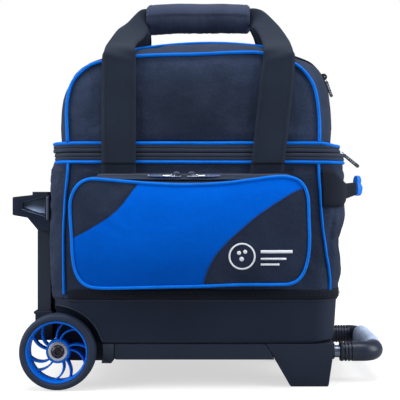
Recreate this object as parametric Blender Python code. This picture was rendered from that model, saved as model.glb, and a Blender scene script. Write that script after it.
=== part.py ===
"""Rolling bowling bag: one-ball roller with a shoe compartment, telescopic pull handle and two wheels.

Lengths are in millimetres and become metres when a mesh is made. +Z is up, -Y is the pocket side
("front" panels, "near" parts), and +X points from the wheels to the low lift handle. The finished
bag stands on z = 0, centred on the origin in x and y. Each body hangs from an empty on its axis.
"""

import math

import bmesh
import bpy
from mathutils import Matrix, Vector

for old in list(bpy.data.objects):
    bpy.data.objects.remove(old, do_unlink=True)

MM = 0.001
SHARP_ANGLE = math.radians(40)
SCENE = bpy.context.scene.collection
SIDES = (("near", -1), ("far", 1))
X_AXIS, Y_AXIS, Z_AXIS = Vector((1, 0, 0)), Vector((0, 1, 0)), Vector((0, 0, 1))

# ---------------------------------------------------------------- driving dimensions
WHEEL_R, WHEEL_W = 51.0, 24.0
WHEEL_X, WHEEL_Z, WHEEL_Y = -183.0, 51.0, 113.0     # axle line, and the middle of each wheel
WELL_R, WELL_Y = 60.0, 94.0                         # wheel well radius and its inner wall
WELL_CUT_Y = 135.0                                  # wells are cut inwards from here
BOLT_R = 4.0

BASE_HX, BASE_HY, BASE_R = 193.0, 118.0, 34.0       # tub's half sizes and corner radius at its rim
TUB_Z0, TUB_Z1, TUB_WALL = 61.0, 121.0, 3.0
UNDERSIDE_Z = 60.4                                  # top of the parts below the tub
SKID_Z0 = 39.0

BODY_CX, BODY_HX, BODY_HY, BODY_R = 4.0, 198.0, 118.0, 32.0   # fabric body
BODY_Z0, BODY_Z1, FABRIC_T = 121.6, 300.8, 3.5

LID_Z0 = 332.8
DOME_CX, DOME_HX, DOME_TOP, DOME_R = -1.5, 168.5, 447.0, 48.0  # end panels of the shoe compartment
BULGE_X, BULGE_Z, BULGE_R = 27.5, 34.0, 47.0        # growth of the section towards the middle
EDGE_DROP = 3.0                                     # fall of an end panel's top to each shoulder
CROWN_LEFT, CROWN_RIGHT = 9.0, 5.0                  # further fall in the middle section

TUBE_X, TUBE_Y = -206.6, 80.0                       # centre of each pull-handle column
TUBE_Z0, TUBE_Z1 = 65.5, 235.0
COLUMN_SIZE, COLUMN_WALL = (18.0, 26.0), 1.3        # fixed outer column, x by y
STAGES = ((14.6, 22.4), (12.0, 19.8), (9.4, 17.2), (6.8, 14.6))  # sliding tubes, x by y
STAGE_WALL = 1.0

STRAP_Y, STRAP_T = 125.6, 2.5                       # carry handle webs
STRAP_TOP_Z = 452.0                                 # where the webs leave the upright panels
GRIP_X, GRIP_Z = 1.5, 521.0                         # centre of the hand grips

LIFT_Y, LIFT_Z, LIFT_X = 68.0, 41.8, 250.0          # lift handle on the +X end
LIFT_BEND, LIFT_R = 18.0, 8.5                       # corner radius and tube radius


def dome_section(y):
    """Half width, top, shoulder radius, and left and right falls of the dome at depth y."""
    swell = 1.0 - min(1.0, abs(y) / BODY_HY) ** 1.8
    return (DOME_HX + BULGE_X * swell, DOME_TOP + BULGE_Z * swell, DOME_R + BULGE_R * swell,
            EDGE_DROP + CROWN_LEFT * swell, EDGE_DROP + CROWN_RIGHT * swell)


# ---------------------------------------------------------------- places of the zip sliders
SLIDER_LIFT = 2.9                                   # slider centre above its zip
SLIDER_HALF_L, SLIDER_HALF_T = 5.2, 2.1
PULL_TAIL = 1.0                                     # length of a pull behind its pin
PULL_HALF_T = 0.9

# The pocket zip lies on the sloping top of the pocket.
SLOPE_DOWN = Vector((0.0, -26.3, -13.5)).normalized()
SLOPE_OUT = Vector((0.0, SLOPE_DOWN.z, -SLOPE_DOWN.y))
POCKET_ZIP = Vector((0.0, -131.8, 284.3))
POCKET_PIN_OUT, POCKET_PIN_LIFT = 4.0, 6.4          # pin from its slider's place on the zip
POCKET_SLIDERS = (("left", -23.3, -1), ("right", -3.7, 1))     # name, x, direction of the pull

MAIN_SLIDER = Vector((205.2, -25.0, 316.0))
MAIN_PIN = Vector((208.8, -25.0, 320.0))

# The shoe slider sits on the right-hand shoulder of the dome's middle section.
MID_HX, MID_TOP, MID_R, _, MID_FALL = dome_section(0.0)
SHOULDER = Vector((DOME_CX + MID_HX - MID_R, -5.6, MID_TOP - MID_FALL - MID_R))


def radial(degrees):
    """Unit vector in the XZ plane, turned up from +X."""
    angle = math.radians(degrees)
    return Vector((math.cos(angle), 0, math.sin(angle)))


SHOE_SLIDER_OUT = radial(34.0)
SHOE_PIN = SHOULDER + radial(32.0) * (MID_R + 7.5)


# ---------------------------------------------------------------- materials
def material(name, colour, roughness, metallic=0.0):
    made = bpy.data.materials.new(name)
    made.use_nodes = True
    inputs = made.node_tree.nodes["Principled BSDF"].inputs
    inputs["Base Color"].default_value = (*colour, 1.0)
    inputs["Roughness"].default_value = roughness
    inputs["Metallic"].default_value = metallic
    return made


POLYESTER = material("black_polyester", colour=(0.022, 0.030, 0.048), roughness=0.85)
BLUE_POLYESTER = material("blue_polyester", colour=(0.0, 0.10, 0.55), roughness=0.8)
PIPING = material("blue_piping", colour=(0.0, 0.13, 0.72), roughness=0.55)
WEBBING = material("black_webbing", colour=(0.024, 0.031, 0.044), roughness=0.9)
GRIP_WRAP = material("grip_wrap", colour=(0.034, 0.042, 0.068), roughness=0.8)
PLASTIC = material("black_plastic", colour=(0.018, 0.024, 0.038), roughness=0.5)
TYRE = material("tyre_rubber", colour=(0.030, 0.038, 0.052), roughness=0.6)
RIM = material("blue_rim_plastic", colour=(0.0, 0.12, 0.66), roughness=0.35)
STEEL = material("bearing_steel", colour=(0.62, 0.65, 0.70), roughness=0.3, metallic=1.0)
BOLT = material("black_bolt", colour=(0.02, 0.02, 0.03), roughness=0.4, metallic=0.6)
DARK_TUBE = material("dark_tube", colour=(0.06, 0.07, 0.09), roughness=0.35, metallic=0.9)
ZIP_TAPE = material("zip_tape", colour=(0.02, 0.025, 0.035), roughness=0.8)
ZIP_METAL = material("zip_pull_metal", colour=(0.5, 0.53, 0.6), roughness=0.25, metallic=1.0)
FOAM = material("black_foam", colour=(0.03, 0.03, 0.035), roughness=0.95)
GREY_RUBBER = material("grey_grip_rubber", colour=(0.33, 0.40, 0.56), roughness=0.7)
BLUE_RUBBER = material("blue_grip_rubber", colour=(0.01, 0.11, 0.5), roughness=0.6)


# ---------------------------------------------------------------- bodies
PIVOTS, AXES = {}, {}


def link(name, data, parent):
    ob = bpy.data.objects.new(name, data)
    SCENE.objects.link(ob)
    ob.parent = parent
    return ob


def add_body(name, pivot, parent=None):
    """An empty on the axis about which the body moves."""
    empty = link("axis_" + name, None, AXES.get(parent))
    empty.empty_display_size = 0.01
    PIVOTS[name], AXES[name] = Vector(pivot), empty
    empty.location = (PIVOTS[name] - PIVOTS.get(parent, Vector((0, 0, 0)))) * MM


add_body("bag_body", (0, 0, 0))
for side_name, side in SIDES:
    add_body(f"wheel_{side_name}", (WHEEL_X, side * WHEEL_Y, WHEEL_Z), "bag_body")
for k in range(len(STAGES)):
    add_body(f"handle_stage_{k + 1}", (TUBE_X, 0, TUBE_Z1), f"handle_stage_{k}" if k else "bag_body")
add_body("release_button", (-212.0, 0, 262.5), "handle_stage_4")
add_body("lid", (BODY_CX, 125.0, 316.0), "bag_body")
add_body("shoe_door", (DOME_CX, 123.0, 331.5), "lid")
add_body("front_handle", (0, -STRAP_Y, 300.0), "bag_body")
for slider_name, x, out in POCKET_SLIDERS:
    place = POCKET_ZIP + X_AXIS * x
    pin = place + X_AXIS * out * POCKET_PIN_OUT + SLOPE_OUT * POCKET_PIN_LIFT
    add_body(f"pocket_slider_{slider_name}", place, "bag_body")
    add_body(f"pocket_pull_{slider_name}", pin, f"pocket_slider_{slider_name}")
add_body("main_slider", MAIN_SLIDER, "bag_body")
add_body("main_pull", MAIN_PIN, "main_slider")
add_body("shoe_slider", SHOULDER, "lid")
add_body("shoe_pull", SHOE_PIN, "shoe_slider")


# ---------------------------------------------------------------- modelling helpers
def mesh_of(bm, owner):
    """Turns a shape given where the bag stands into a mesh about its body's axis."""
    bmesh.ops.remove_doubles(bm, verts=bm.verts, dist=1e-7)
    bmesh.ops.recalc_face_normals(bm, faces=bm.faces)
    bmesh.ops.scale(bm, vec=(MM,) * 3, verts=bm.verts)
    mesh = bpy.data.meshes.new("piece")
    bm.to_mesh(mesh)
    bm.free()
    mesh.transform(Matrix.Translation(-PIVOTS[owner] * MM))
    return mesh


def add(name, bm, finish, owner="bag_body"):
    mesh = mesh_of(bm, owner)
    mesh.materials.append(finish)
    mesh.shade_smooth()
    mesh.set_sharp_from_angle(angle=SHARP_ANGLE)
    return link(name, mesh, AXES[owner])


def combine(ob, bm, operation):
    """Boolean of ob with the shape in bm, taken into ob's own mesh."""
    tool = link("tool", mesh_of(bm, ob.parent.name.removeprefix("axis_")), ob.parent)
    modifier = ob.modifiers.new(operation.lower(), "BOOLEAN")
    modifier.operation, modifier.solver, modifier.object = operation, "EXACT", tool
    bpy.context.view_layer.update()
    graph = bpy.context.evaluated_depsgraph_get()
    made = bpy.data.meshes.new_from_object(ob.evaluated_get(graph))
    ob.modifiers.clear()
    ob.data = made
    bpy.data.objects.remove(tool, do_unlink=True)


def cut(ob, bm):
    combine(ob, bm, "DIFFERENCE")


def unite(ob, bm):
    combine(ob, bm, "UNION")


def loft(loops, ring=False, bm=None):
    """Skin over loops of points, added to bm if given.

    The ends are capped, or with ring the last loop joins the first.
    """
    bm = bm or bmesh.new()
    rows = [[bm.verts.new(Vector(p)) for p in loop] for loop in loops]
    count = len(rows[0])
    pairs = list(zip(rows, rows[1:])) + ([(rows[-1], rows[0])] if ring else [])
    for a, b in pairs:
        for i in range(count):
            j = (i + 1) % count
            bm.faces.new((a[i], a[j], b[j], b[i]))
    if not ring:
        bm.faces.new(rows[0][::-1])
        bm.faces.new(rows[-1])
    return bm


def prism(points, axis, low, high, bm=None):
    """A closed outline pushed along an axis: (x, z) for Y, (x, y) for Z and (y, z) for X."""
    at = {"X": lambda u, v, w: (w, u, v),
          "Y": lambda u, v, w: (u, w, v),
          "Z": lambda u, v, w: (u, v, w)}[axis]
    return loft([[at(u, v, w) for u, v in points] for w in (low, high)], bm=bm)


def rod(centre, radius, low, high, steps, axis="Y"):
    """A plain cylinder along X or Y."""
    angles = [2 * math.pi * k / steps for k in range(steps)]
    ring = [(centre[0] + radius * math.cos(t), centre[1] + radius * math.sin(t)) for t in angles]
    return prism(ring, axis, low, high)


def axle_rod(radius, side, y_outer, y_inner, steps):
    """A cylinder on the axle line, between two depths on one side of the bag."""
    return rod((WHEEL_X, WHEEL_Z), radius, *sorted((side * y_outer, side * y_inner)), steps)


def block(x0, x1, y0, y1, z0, z1, bevel=0.0):
    bm = bmesh.new()
    bmesh.ops.create_cube(bm, size=1.0)
    bmesh.ops.scale(bm, vec=(x1 - x0, y1 - y0, z1 - z0), verts=bm.verts)
    bmesh.ops.translate(bm, vec=((x0 + x1) / 2, (y0 + y1) / 2, (z0 + z1) / 2), verts=bm.verts)
    if bevel:
        bmesh.ops.bevel(bm, geom=bm.edges[:], offset=bevel, segments=1, affect="EDGES", profile=0.5)
    return bm


def oriented_block(centre, half_a, half_b, half_c):
    """A block from its centre and three half-edge vectors."""
    return loft([[centre + i * half_a + j * half_b + k * half_c
                  for i, j in ((-1, -1), (1, -1), (1, 1), (-1, 1))] for k in (-1, 1)])


def turned(profile, steps):
    """A closed profile of (radius, y from the wheel's middle), turned about the near axle."""
    bm = bmesh.new()
    centre = Vector((WHEEL_X, -WHEEL_Y, WHEEL_Z))
    verts = [bm.verts.new(centre + X_AXIS * r + Y_AXIS * h) for r, h in profile]
    radii = [r for r, _ in profile]
    # an edge lying on the axis would sweep no face
    edges = [bm.edges.new((a, b)) for a, b, ra, rb in
             zip(verts, verts[1:] + verts[:1], radii, radii[1:] + radii[:1]) if ra or rb]
    bmesh.ops.spin(bm, geom=verts + edges, cent=centre, axis=Y_AXIS, angle=2 * math.pi,
                   steps=steps, use_merge=True)
    bmesh.ops.remove_doubles(bm, verts=bm.verts, dist=1e-4)
    return bm


def rounded(hx, hy, radius, steps=5, cx=0.0, cy=0.0):
    """A rounded rectangle, anticlockwise, from its half sizes and the steps to a corner."""
    points = []
    for qx, qy, start in ((1, 1, 0), (-1, 1, 90), (-1, -1, 180), (1, -1, 270)):
        for k in range(steps + 1):
            t = math.radians(start + 90 * k / steps)
            points.append((cx + qx * (hx - radius) + radius * math.cos(t),
                           cy + qy * (hy - radius) + radius * math.sin(t)))
    return points


def flat(points, z):
    return [(x, y, z) for x, y in points]


def tube_loft(outer, inner, z0, z1):
    """An upright open tube between two outlines."""
    return loft([flat(outer, z0), flat(outer, z1), flat(inner, z1), flat(inner, z0)], ring=True)


def rounded_stack(table):
    """Skin over rounded rectangles: half x, half y, corner radius, z."""
    return loft([flat(rounded(*size), z) for *size, z in table])


def strip(sections, thickness):
    """A flat web over sections of a centre, a half-width vector and a direction of thickness."""
    loops = []
    for centre, half, normal in sections:
        c, e, n = Vector(centre), Vector(half), Vector(normal).normalized() * (thickness / 2)
        loops.append([c + e + n, c - e + n, c - e - n, c + e - n])
    return loft(loops)


def tangent(path, k):
    """Direction of a path of vectors at point k, from its neighbours."""
    return (path[min(len(path) - 1, k + 1)] - path[max(0, k - 1)]).normalized()


def cord(name, path, radius, finish, owner="bag_body", cyclic=False, resolution=1):
    """A round cord or tube: a curve with a round bevel."""
    curve = bpy.data.curves.new(name, "CURVE")
    curve.dimensions = "3D"
    curve.bevel_depth, curve.bevel_resolution = radius * MM, resolution
    curve.use_fill_caps, curve.twist_mode = True, "MINIMUM"
    spline = curve.splines.new("POLY")
    spline.points.add(len(path) - 1)
    for point, place in zip(spline.points, path):
        point.co = (*((Vector(place) - PIVOTS[owner]) * MM), 1.0)
    spline.use_cyclic_u, spline.use_smooth = cyclic, True
    curve.materials.append(finish)
    link(name, curve, AXES[owner])


# ---------------------------------------------------------------- wheels
HALF_W = WHEEL_W / 2
# profiles of (radius, y from the wheel's middle); -y is the outer face of the near wheel
TYRE_PROFILE = [
    (41.6, -10.5), (47.0, -HALF_W), (49.9, -10.2), (WHEEL_R, -5.5),
    (WHEEL_R, 5.5), (49.9, 10.2), (47.0, HALF_W), (41.6, 10.5)]
RIM_PROFILE = [
    (13.1, -3.5), (15.8, -3.5), (16.2, -1.5), (38.6, -1.5), (38.6, -11), (41.2, -11),
    (41.2, 11), (38.6, 11), (38.6, 8), (15.8, 8), (15.8, HALF_W), (13.1, HALF_W)]
BEARING_PROFILE = [(4.4, -3.4), (12.8, -3.4), (12.8, 11.9), (4.4, 11.9)]
BOLT_PROFILE = [
    (0, -7.9), (5.2, -7.6), (8.0, -6.4), (8.7, -4.4), (BOLT_R, -4.4), (BOLT_R, 30.0), (0, 30.0)]

WINDOW_R0, WINDOW_R1, WINDOW_STEPS = 16.9, 37.9, 5
SPOKE_HALF_W = 1.55
SPOKE_PAIRS = 5
FIRST_PAIR, PAIR_HALF = 88.0, 9.5                   # degrees: first pair's middle, half its spread
SWEEPS = (-31.0, -20.0)                             # degrees: sweep of a pair's two spokes


def spoke_edge(angle, sweep, edge):
    """(radius, degrees) along one edge of a swept spoke."""
    points = []
    for k in range(WINDOW_STEPS + 1):
        t = k / WINDOW_STEPS
        r = WINDOW_R0 + (WINDOW_R1 - WINDOW_R0) * t
        points.append((r, angle + sweep * t ** 1.5 + edge * math.degrees(SPOKE_HALF_W / r)))
    return points


def rim_windows():
    """Openings between the pairs of swept spokes, and within each pair."""
    spokes = []
    for k in range(SPOKE_PAIRS):
        middle = FIRST_PAIR + 360.0 / SPOKE_PAIRS * k
        spokes += [(middle - PAIR_HALF, SWEEPS[0]), (middle + PAIR_HALF, SWEEPS[1])]
    spokes.append((spokes[0][0] + 360.0, spokes[0][1]))
    bm = bmesh.new()
    for first, second in zip(spokes, spokes[1:]):
        start, end = spoke_edge(*first, 1), spoke_edge(*second, -1)
        middle = (start[-1][1] + end[-1][1]) / 2
        outline = [(WHEEL_X + r * math.cos(math.radians(g)), WHEEL_Z + r * math.sin(math.radians(g)))
                   for r, g in start + [(WINDOW_R1, middle)] + end[::-1]]
        prism(outline, "Y", -WHEEL_Y - 20, -WHEEL_Y + 20, bm)
    return bm


def build_wheels():
    tyre = add("wheel_near_tyre", turned(TYRE_PROFILE, 44), TYRE, "wheel_near")
    rim = add("wheel_near_rim", turned(RIM_PROFILE, 44), RIM, "wheel_near")
    cut(rim, rim_windows())
    rim.data.set_sharp_from_angle(angle=SHARP_ANGLE)
    bearing = add("wheel_near_bearing", turned(BEARING_PROFILE, 28), STEEL, "wheel_near")
    for ob in (tyre, rim, bearing):
        twin = link(ob.name.replace("near", "far"), ob.data, AXES["wheel_far"])
        twin.rotation_euler = (0, 0, math.pi)


def build_axle_bolts():
    bolt = add("axle_bolt_near", turned(BOLT_PROFILE, 24), BOLT)
    cut(bolt, axle_rod(3.4, -1, WHEEL_Y + 20, WHEEL_Y + 5.1, 6))     # hexagon socket
    far_bolt = link("axle_bolt_far", bolt.data.copy(), AXES["bag_body"])
    to_axle = Matrix.Translation((WHEEL_X * MM, 0, 0))
    far_bolt.data.transform(to_axle @ Matrix.Rotation(math.pi, 4, "Z") @ to_axle.inverted())


# ---------------------------------------------------------------- moulded base
# rounded rectangles of half x, half y, corner radius, z: up the outside, then down the inside
TUB_STACK = (
    (184, 110, 30, TUB_Z0), (188.5, 114.5, 32, 65), (190, 116.5, 33, 74),
    (BASE_HX, BASE_HY, BASE_R, TUB_Z1),
    (BASE_HX - TUB_WALL, BASE_HY - TUB_WALL, BASE_R - TUB_WALL, TUB_Z1),
    (187, 113.5, 30, 74), (184, 110, 28, 64.5))
# envelope within the tub's wall that trims the well liners
LINER_STACK = (
    (183, 109, 29, TUB_Z0 + 1.2), (188.4, 115, 32, 74),
    (BASE_HX - 1.5, BASE_HY - 1.4, BASE_R - 1.5, TUB_Z1 - 1.0))
CHASSIS_OUTLINE = [                                 # x, z
    (-196.5, UNDERSIDE_Z), (-196.5, 46), (-186, 34.5), (-112.5, 34.5), (-109, 38.5),
    (-109, UNDERSIDE_Z)]
SKID_OUTLINE = [                                    # x, z
    (-108.4, UNDERSIDE_Z), (-108.4, SKID_Z0 + 2), (-106.4, SKID_Z0), (106.1, SKID_Z0),
    (94.0, UNDERSIDE_Z)]
FOOT_SECTIONS = (                                   # x0, x1, outer y, inner y, z
    (94.7, 187.0, 112.0, 50.0, UNDERSIDE_Z), (127.6, 180.6, 100.0, 53.5, 2.4),
    (129.6, 179.6, 98.6, 54.5, 0.0))


def cut_wheel_wells(ob):
    for _, side in SIDES:
        cut(ob, axle_rod(WELL_R, side, WELL_CUT_Y, WELL_Y, 40))


def build_tub():
    tub = add("base_tub", rounded_stack(TUB_STACK), PLASTIC)
    for _, side in SIDES:
        shape = axle_rod(WELL_R + TUB_WALL, side, BASE_HY - 1.4, WELL_Y - TUB_WALL, 40)
        liner = add("tool_liner", shape, PLASTIC)
        combine(liner, rounded_stack(LINER_STACK), "INTERSECT")
        bm = bmesh.new()
        bm.from_mesh(liner.data)
        bmesh.ops.scale(bm, vec=(1 / MM,) * 3, verts=bm.verts)
        bpy.data.objects.remove(liner, do_unlink=True)
        unite(tub, bm)
    cut_wheel_wells(tub)


def build_chassis():
    """Block between the wheels, open below, with bosses for the axle bolts."""
    chassis = add("wheel_chassis", prism(CHASSIS_OUTLINE, "Y", -112, 112), PLASTIC)
    cut_wheel_wells(chassis)
    for y0, y1 in ((-88, -32), (-28, 28), (32, 88)):
        cut(chassis, block(-183, -130, y0, y1, 20, 57.2))
    for _, side in SIDES:
        unite(chassis, axle_rod(8.0, side, 100.3, 92.0, 20))
        cut(chassis, axle_rod(BOLT_R + 0.3, side, 110.0, 75.0, 20))


def build_skid():
    skid = add("base_skid", prism(SKID_OUTLINE, "Y", -111.5, 111.5), PLASTIC)
    for x0, x1 in ((-104, -4), (-1, 88)):
        cut(skid, block(x0, x1, -108, 108, 20, 57.4))


def build_feet():
    """Feet near the +X end, bored for the lift handle's tube."""
    for name, side in SIDES:
        loops = [[(x0, side * ya, z), (x1, side * ya, z), (x1, side * yb, z), (x0, side * yb, z)]
                 for x0, x1, ya, yb, z in FOOT_SECTIONS]
        foot = add(f"front_foot_{name}", loft(loops), PLASTIC)
        cut(foot, rod((side * LIFT_Y, LIFT_Z), LIFT_R + 0.5, 146.0, 200.0, 20, "X"))


def build_ball_cup():
    """Foam pad with a round hole."""
    pad_hx, pad_hy, hole_r = 112, 86, 56
    unit = rounded(1, 1, 0.18, 7)
    outer = [(BODY_CX + pad_hx * x, pad_hy * y) for x, y in unit]
    hole = [(BODY_CX + hole_r * x / math.hypot(x, y), hole_r * y / math.hypot(x, y))
            for x, y in unit]
    add("ball_cup_foam", tube_loft(outer, hole, 65.2, 83.5), FOAM)


# ---------------------------------------------------------------- fabric body
PANEL_HX = 166.8                                    # half width of the front and rear panels
SIDE_START = 168.8                                  # x from the middle where a side panel begins
SIDE_PANELS = (                                     # name, direction, stations of (z, half width)
    ("left", -1, ((BODY_Z0, 199.4), (136, 200.4), (165, 201.0), (215, 201.0), (BODY_Z1, 201.0))),
    ("right", 1, ((BODY_Z0, 189.0), (143, 191.0), (165, 193.5), (200, 192.0), (226, BODY_HX),
                  (BODY_Z1, BODY_HX))))


def side_section(hx, z, direction):
    """C-shaped section of a side panel: out round both corners and back along the inside."""
    corner_x, corner_y = hx - BODY_R, BODY_HY - BODY_R
    start = math.acos((SIDE_START - corner_x) / BODY_R)

    def face(radius):
        half = []
        for k in range(6):
            a = start * (1 - k / 5)
            half.append((corner_x + radius * math.cos(a), -(corner_y + radius * math.sin(a))))
        return half + [(x, -y) for x, y in half[::-1]]

    points = face(BODY_R) + face(BODY_R - FABRIC_T)[::-1]
    return [(BODY_CX + direction * x, y, z) for x, y in points]


def build_body_panels():
    for name, side in (("front", -1), ("rear", 1)):
        y0, y1 = sorted((side * BODY_HY, side * (BODY_HY - FABRIC_T)))
        add(f"body_{name}_panel", block(BODY_CX - PANEL_HX, BODY_CX + PANEL_HX, y0, y1,
                                        BODY_Z0, BODY_Z1, bevel=0.8), POLYESTER)
    for name, direction, stations in SIDE_PANELS:
        loops = [side_section(hx, z, direction) for z, hx in stations]
        add(f"body_side_{name}", loft(loops), POLYESTER)


TAPE_HX, TAPE_HY, TAPE_R, TAPE_T = 198.6, 121.8, 36, 3.4
TAPES = (                                           # name, body, tape z0, tape z1, piping z
    ("lower", "bag_body", 305.8, 315.4, 303.4),
    ("upper", "lid", 316.6, 326.2, 328.6))


def build_zip_band():
    """The two tapes of the main zip, each with its piping."""
    outer = rounded(TAPE_HX, TAPE_HY, TAPE_R, cx=BODY_CX)
    inner = rounded(TAPE_HX - TAPE_T, TAPE_HY - TAPE_T, TAPE_R - TAPE_T, cx=BODY_CX)
    piping = rounded(197.5, 120.8, 34.8, steps=4, cx=BODY_CX)
    for name, owner, z0, z1, piping_z in TAPES:
        add(f"main_zip_{name}_tape", tube_loft(outer, inner, z0, z1), ZIP_TAPE, owner)
        cord(f"band_piping_{name}", flat(piping, piping_z), 2.1, PIPING, owner, cyclic=True)


# ---------------------------------------------------------------- lid: shoe compartment
DOME_STATIONS = (117.0, 114.0, 106.0, 90.0, 55.0, 1.0)         # depths from the rim to the middle
CROWN_PEAK = 0.58                                   # highest point, as a share of the flat top
LEFT_UPRIGHT, RIGHT_UPRIGHT = 24, 30                # height of the first point above each foot


def arch(y, inset=0.0, foot=LID_Z0):
    """(x, z) outline of the dome at depth y, from the left foot over the top to the right."""
    half, top, radius, left_fall, right_fall = dome_section(y)
    half, top, radius = half - inset, top - inset, radius - inset
    shoulder_x, steps = half - radius, 5

    def shoulder(x, fall, first_degrees):
        angles = [math.radians(first_degrees - 90 * k / steps) for k in range(steps + 1)]
        return [(x + radius * math.cos(g), top - fall - radius + radius * math.sin(g))
                for g in angles]

    crown = []
    for u in (0.25, 0.5, 0.75):
        if u < CROWN_PEAK:
            fall = left_fall * ((CROWN_PEAK - u) / CROWN_PEAK) ** 2
        else:
            fall = right_fall * ((u - CROWN_PEAK) / (1 - CROWN_PEAK)) ** 2
        crown.append((shoulder_x * (2 * u - 1), top - fall))
    points = [(-half, foot), (-half, foot + LEFT_UPRIGHT),
              *shoulder(-shoulder_x, left_fall, 180), *crown, *shoulder(shoulder_x, right_fall, 90),
              (half, foot + RIGHT_UPRIGHT), (half, foot)]
    return [(DOME_CX + x, z) for x, z in points]


def build_half_dome(name, side, owner):
    """Half of the dome's shell with its upright end panel."""
    loops = [[(x, side * y, z) for x, z in arch(y) + arch(y, FABRIC_T)[::-1]]
             for y in DOME_STATIONS]
    shell = add(name, loft(loops), POLYESTER, owner)
    panel = [[(x, side * y, z) for x, z in arch(y, inset, LID_Z0 + 0.5)]
             for y, inset in ((BODY_HY, 0.0), (BODY_HY - FABRIC_T, 1.2))]
    unite(shell, loft(panel))


def build_lid():
    base = rounded(194.5, 117.7, 31.6, cx=BODY_CX)
    add("lid_base_panel", prism(base, "Z", 322.0, 332.4), POLYESTER, "lid")
    build_half_dome("lid_shell", -1, "lid")
    build_half_dome("shoe_door", 1, "shoe_door")
    path = [(x, -120.7, z) for x, z in arch(BODY_HY, inset=-0.5)]
    cord("dome_piping_front", path, 2.2, PIPING, "lid")


# ---------------------------------------------------------------- accessory pocket
POCKET_X, POCKET_Z = (-160.7, 148.7), (141.0, 277.5)           # pocket's front edge
POCKET_R, POCKET_MIN_R = 27.0, 6.0
POCKET_LOOPS = (                                    # offset from the front edge, y, lift of the top
    (-36, -149.0, 0), (-12, -146.8, 0), (-2.6, -142.2, 0), (-0.6, -118.8, 11.5),   # inside
    (2, -118.8, 11.5), (0, -145.0, 0), (-12, -149.4, 0), (-36, -151.6, 0))         # outside


def pocket_loop(offset, y, lift=0.0):
    (x0, x1), (z0, z1) = POCKET_X, POCKET_Z
    cx, cz = (x0 + x1) / 2, (z0 + z1) / 2
    outline = rounded((x1 - x0) / 2 + offset, (z1 - z0) / 2 + offset,
                      max(POCKET_MIN_R, POCKET_R + offset), 4, cx, cz)
    return [(x, y, z + (lift if z > cz else 0.0)) for x, z in outline]


def build_pocket():
    add("accessory_pocket", loft([pocket_loop(*row) for row in POCKET_LOOPS]), BLUE_POLYESTER)
    cord("pocket_piping", pocket_loop(2.7, -144.6), 2.2, PIPING, cyclic=True)


# ---------------------------------------------------------------- zip sliders and pulls
def zip_slider(name, owner, place, along, across, out):
    """A slider on the zip at place; across is a half-width vector."""
    shape = oriented_block(place + out * SLIDER_LIFT, along * SLIDER_HALF_L, across,
                           out * SLIDER_HALF_T)
    add(name, shape, ZIP_METAL, owner)


def zip_pull(name, owner, along, half_length, across, out):
    """A flat pull from its pin; across is a half-width vector."""
    shape = oriented_block(PIVOTS[owner] + along * (half_length - PULL_TAIL), along * half_length,
                           across, out * PULL_HALF_T)
    add(name, shape, ZIP_METAL, owner)


def build_zip_hardware():
    for name, x, direction in POCKET_SLIDERS:
        slider, pull = f"pocket_slider_{name}", f"pocket_pull_{name}"
        zip_slider(slider, slider, PIVOTS[slider], X_AXIS, SLOPE_DOWN * 3.6, SLOPE_OUT)
        zip_pull(pull, pull, X_AXIS * direction, 18.2, SLOPE_DOWN * 2.7, SLOPE_OUT)

    x, y, z = MAIN_SLIDER
    add("main_zip_slider", block(x - SLIDER_HALF_T, x + SLIDER_HALF_T,
                                 y - SLIDER_HALF_L, y + SLIDER_HALF_L,
                                 z - 4.4, z + 4.4, bevel=0.6), ZIP_METAL, "main_slider")
    out = SHOE_SLIDER_OUT
    zip_slider("shoe_zip_slider", "shoe_slider", SHOULDER + out * MID_R,
               Vector((-out.z, 0, out.x)), Y_AXIS * 3.8, out)

    main_along = Vector((0.743, 0, -0.669))
    shoe_along = Vector((0.36, 0, -0.93)).normalized()
    for name, along, half_length in (("main", main_along, 15.0), ("shoe", shoe_along, 16.6)):
        zip_pull(f"{name}_zip_pull", f"{name}_pull", along, half_length, Y_AXIS * 2.9,
                 Vector((-along.z, 0, along.x)))


# ---------------------------------------------------------------- carry handles
def strap_leg(side, edge, foot_x, top_x, foot_z):
    """Sections of one leg of a web loop, up its panel and over the dome into the hand grip.

    edge is -1 on the left leg and 1 on the right; side is -1 in front and 1 behind.
    """
    half_w = 22.3
    grip_end = GRIP_X + edge * 77.5
    y, top = side * STRAP_Y, STRAP_TOP_Z
    e, up = X_AXIS * edge, Z_AXIS
    return [
        ((foot_x, y, foot_z), e * half_w, (0, 1, 0)),
        ((top_x, y, top), e * half_w, (0, 1, 0)),
        ((top_x - edge * 2, side * 119.5, top + 12), (e * 0.98 + up * 0.06) * (half_w - 1),
         (0, 1, side * 0.55)),
        ((top_x - edge * 9, side * 84, top + 29), (e * 0.9 + up * 0.32) * 19.0,
         (0.0, 0.62, side * 0.78)),
        ((top_x - edge * 18, side * 42, top + 48), (e * 0.66 + up * 0.7) * 17.0,
         (0.25 * edge, 0.80, side * 0.5)),
        ((grip_end + edge * 5, side * 8.5, GRIP_Z - 3), (e * 0.22 + up * 0.97) * 15.5,
         (0.35 * edge, 0.93, 0)),
        ((grip_end - edge * 3, side * 2.15, GRIP_Z), up * 15.0, (0, 1, 0))]


def build_carry_handles():
    # name, body, side, x of the right leg's foot, z of the feet
    for name, owner, side, right_foot_x, foot_z in (("front", "front_handle", -1, 96.5, 300.6),
                                                    ("rear", "shoe_door", 1, 106.0, 337.0)):
        left = strap_leg(side, -1, -101.0, -101.0, foot_z)
        right = strap_leg(side, 1, right_foot_x, 112.0, foot_z)
        add(f"{name}_handle_strap", strip(left + right[::-1], STRAP_T), WEBBING, owner)
        angles = [math.pi * k / 10 for k in range(11)]
        half_oval = [(side * (3.9 + 17.2 * math.sin(t)), GRIP_Z + 21.2 * math.cos(t))
                     for t in angles]
        add(f"{name}_grip_cover", prism(half_oval, "X", GRIP_X - 74, GRIP_X + 74), GRIP_WRAP, owner)


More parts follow.
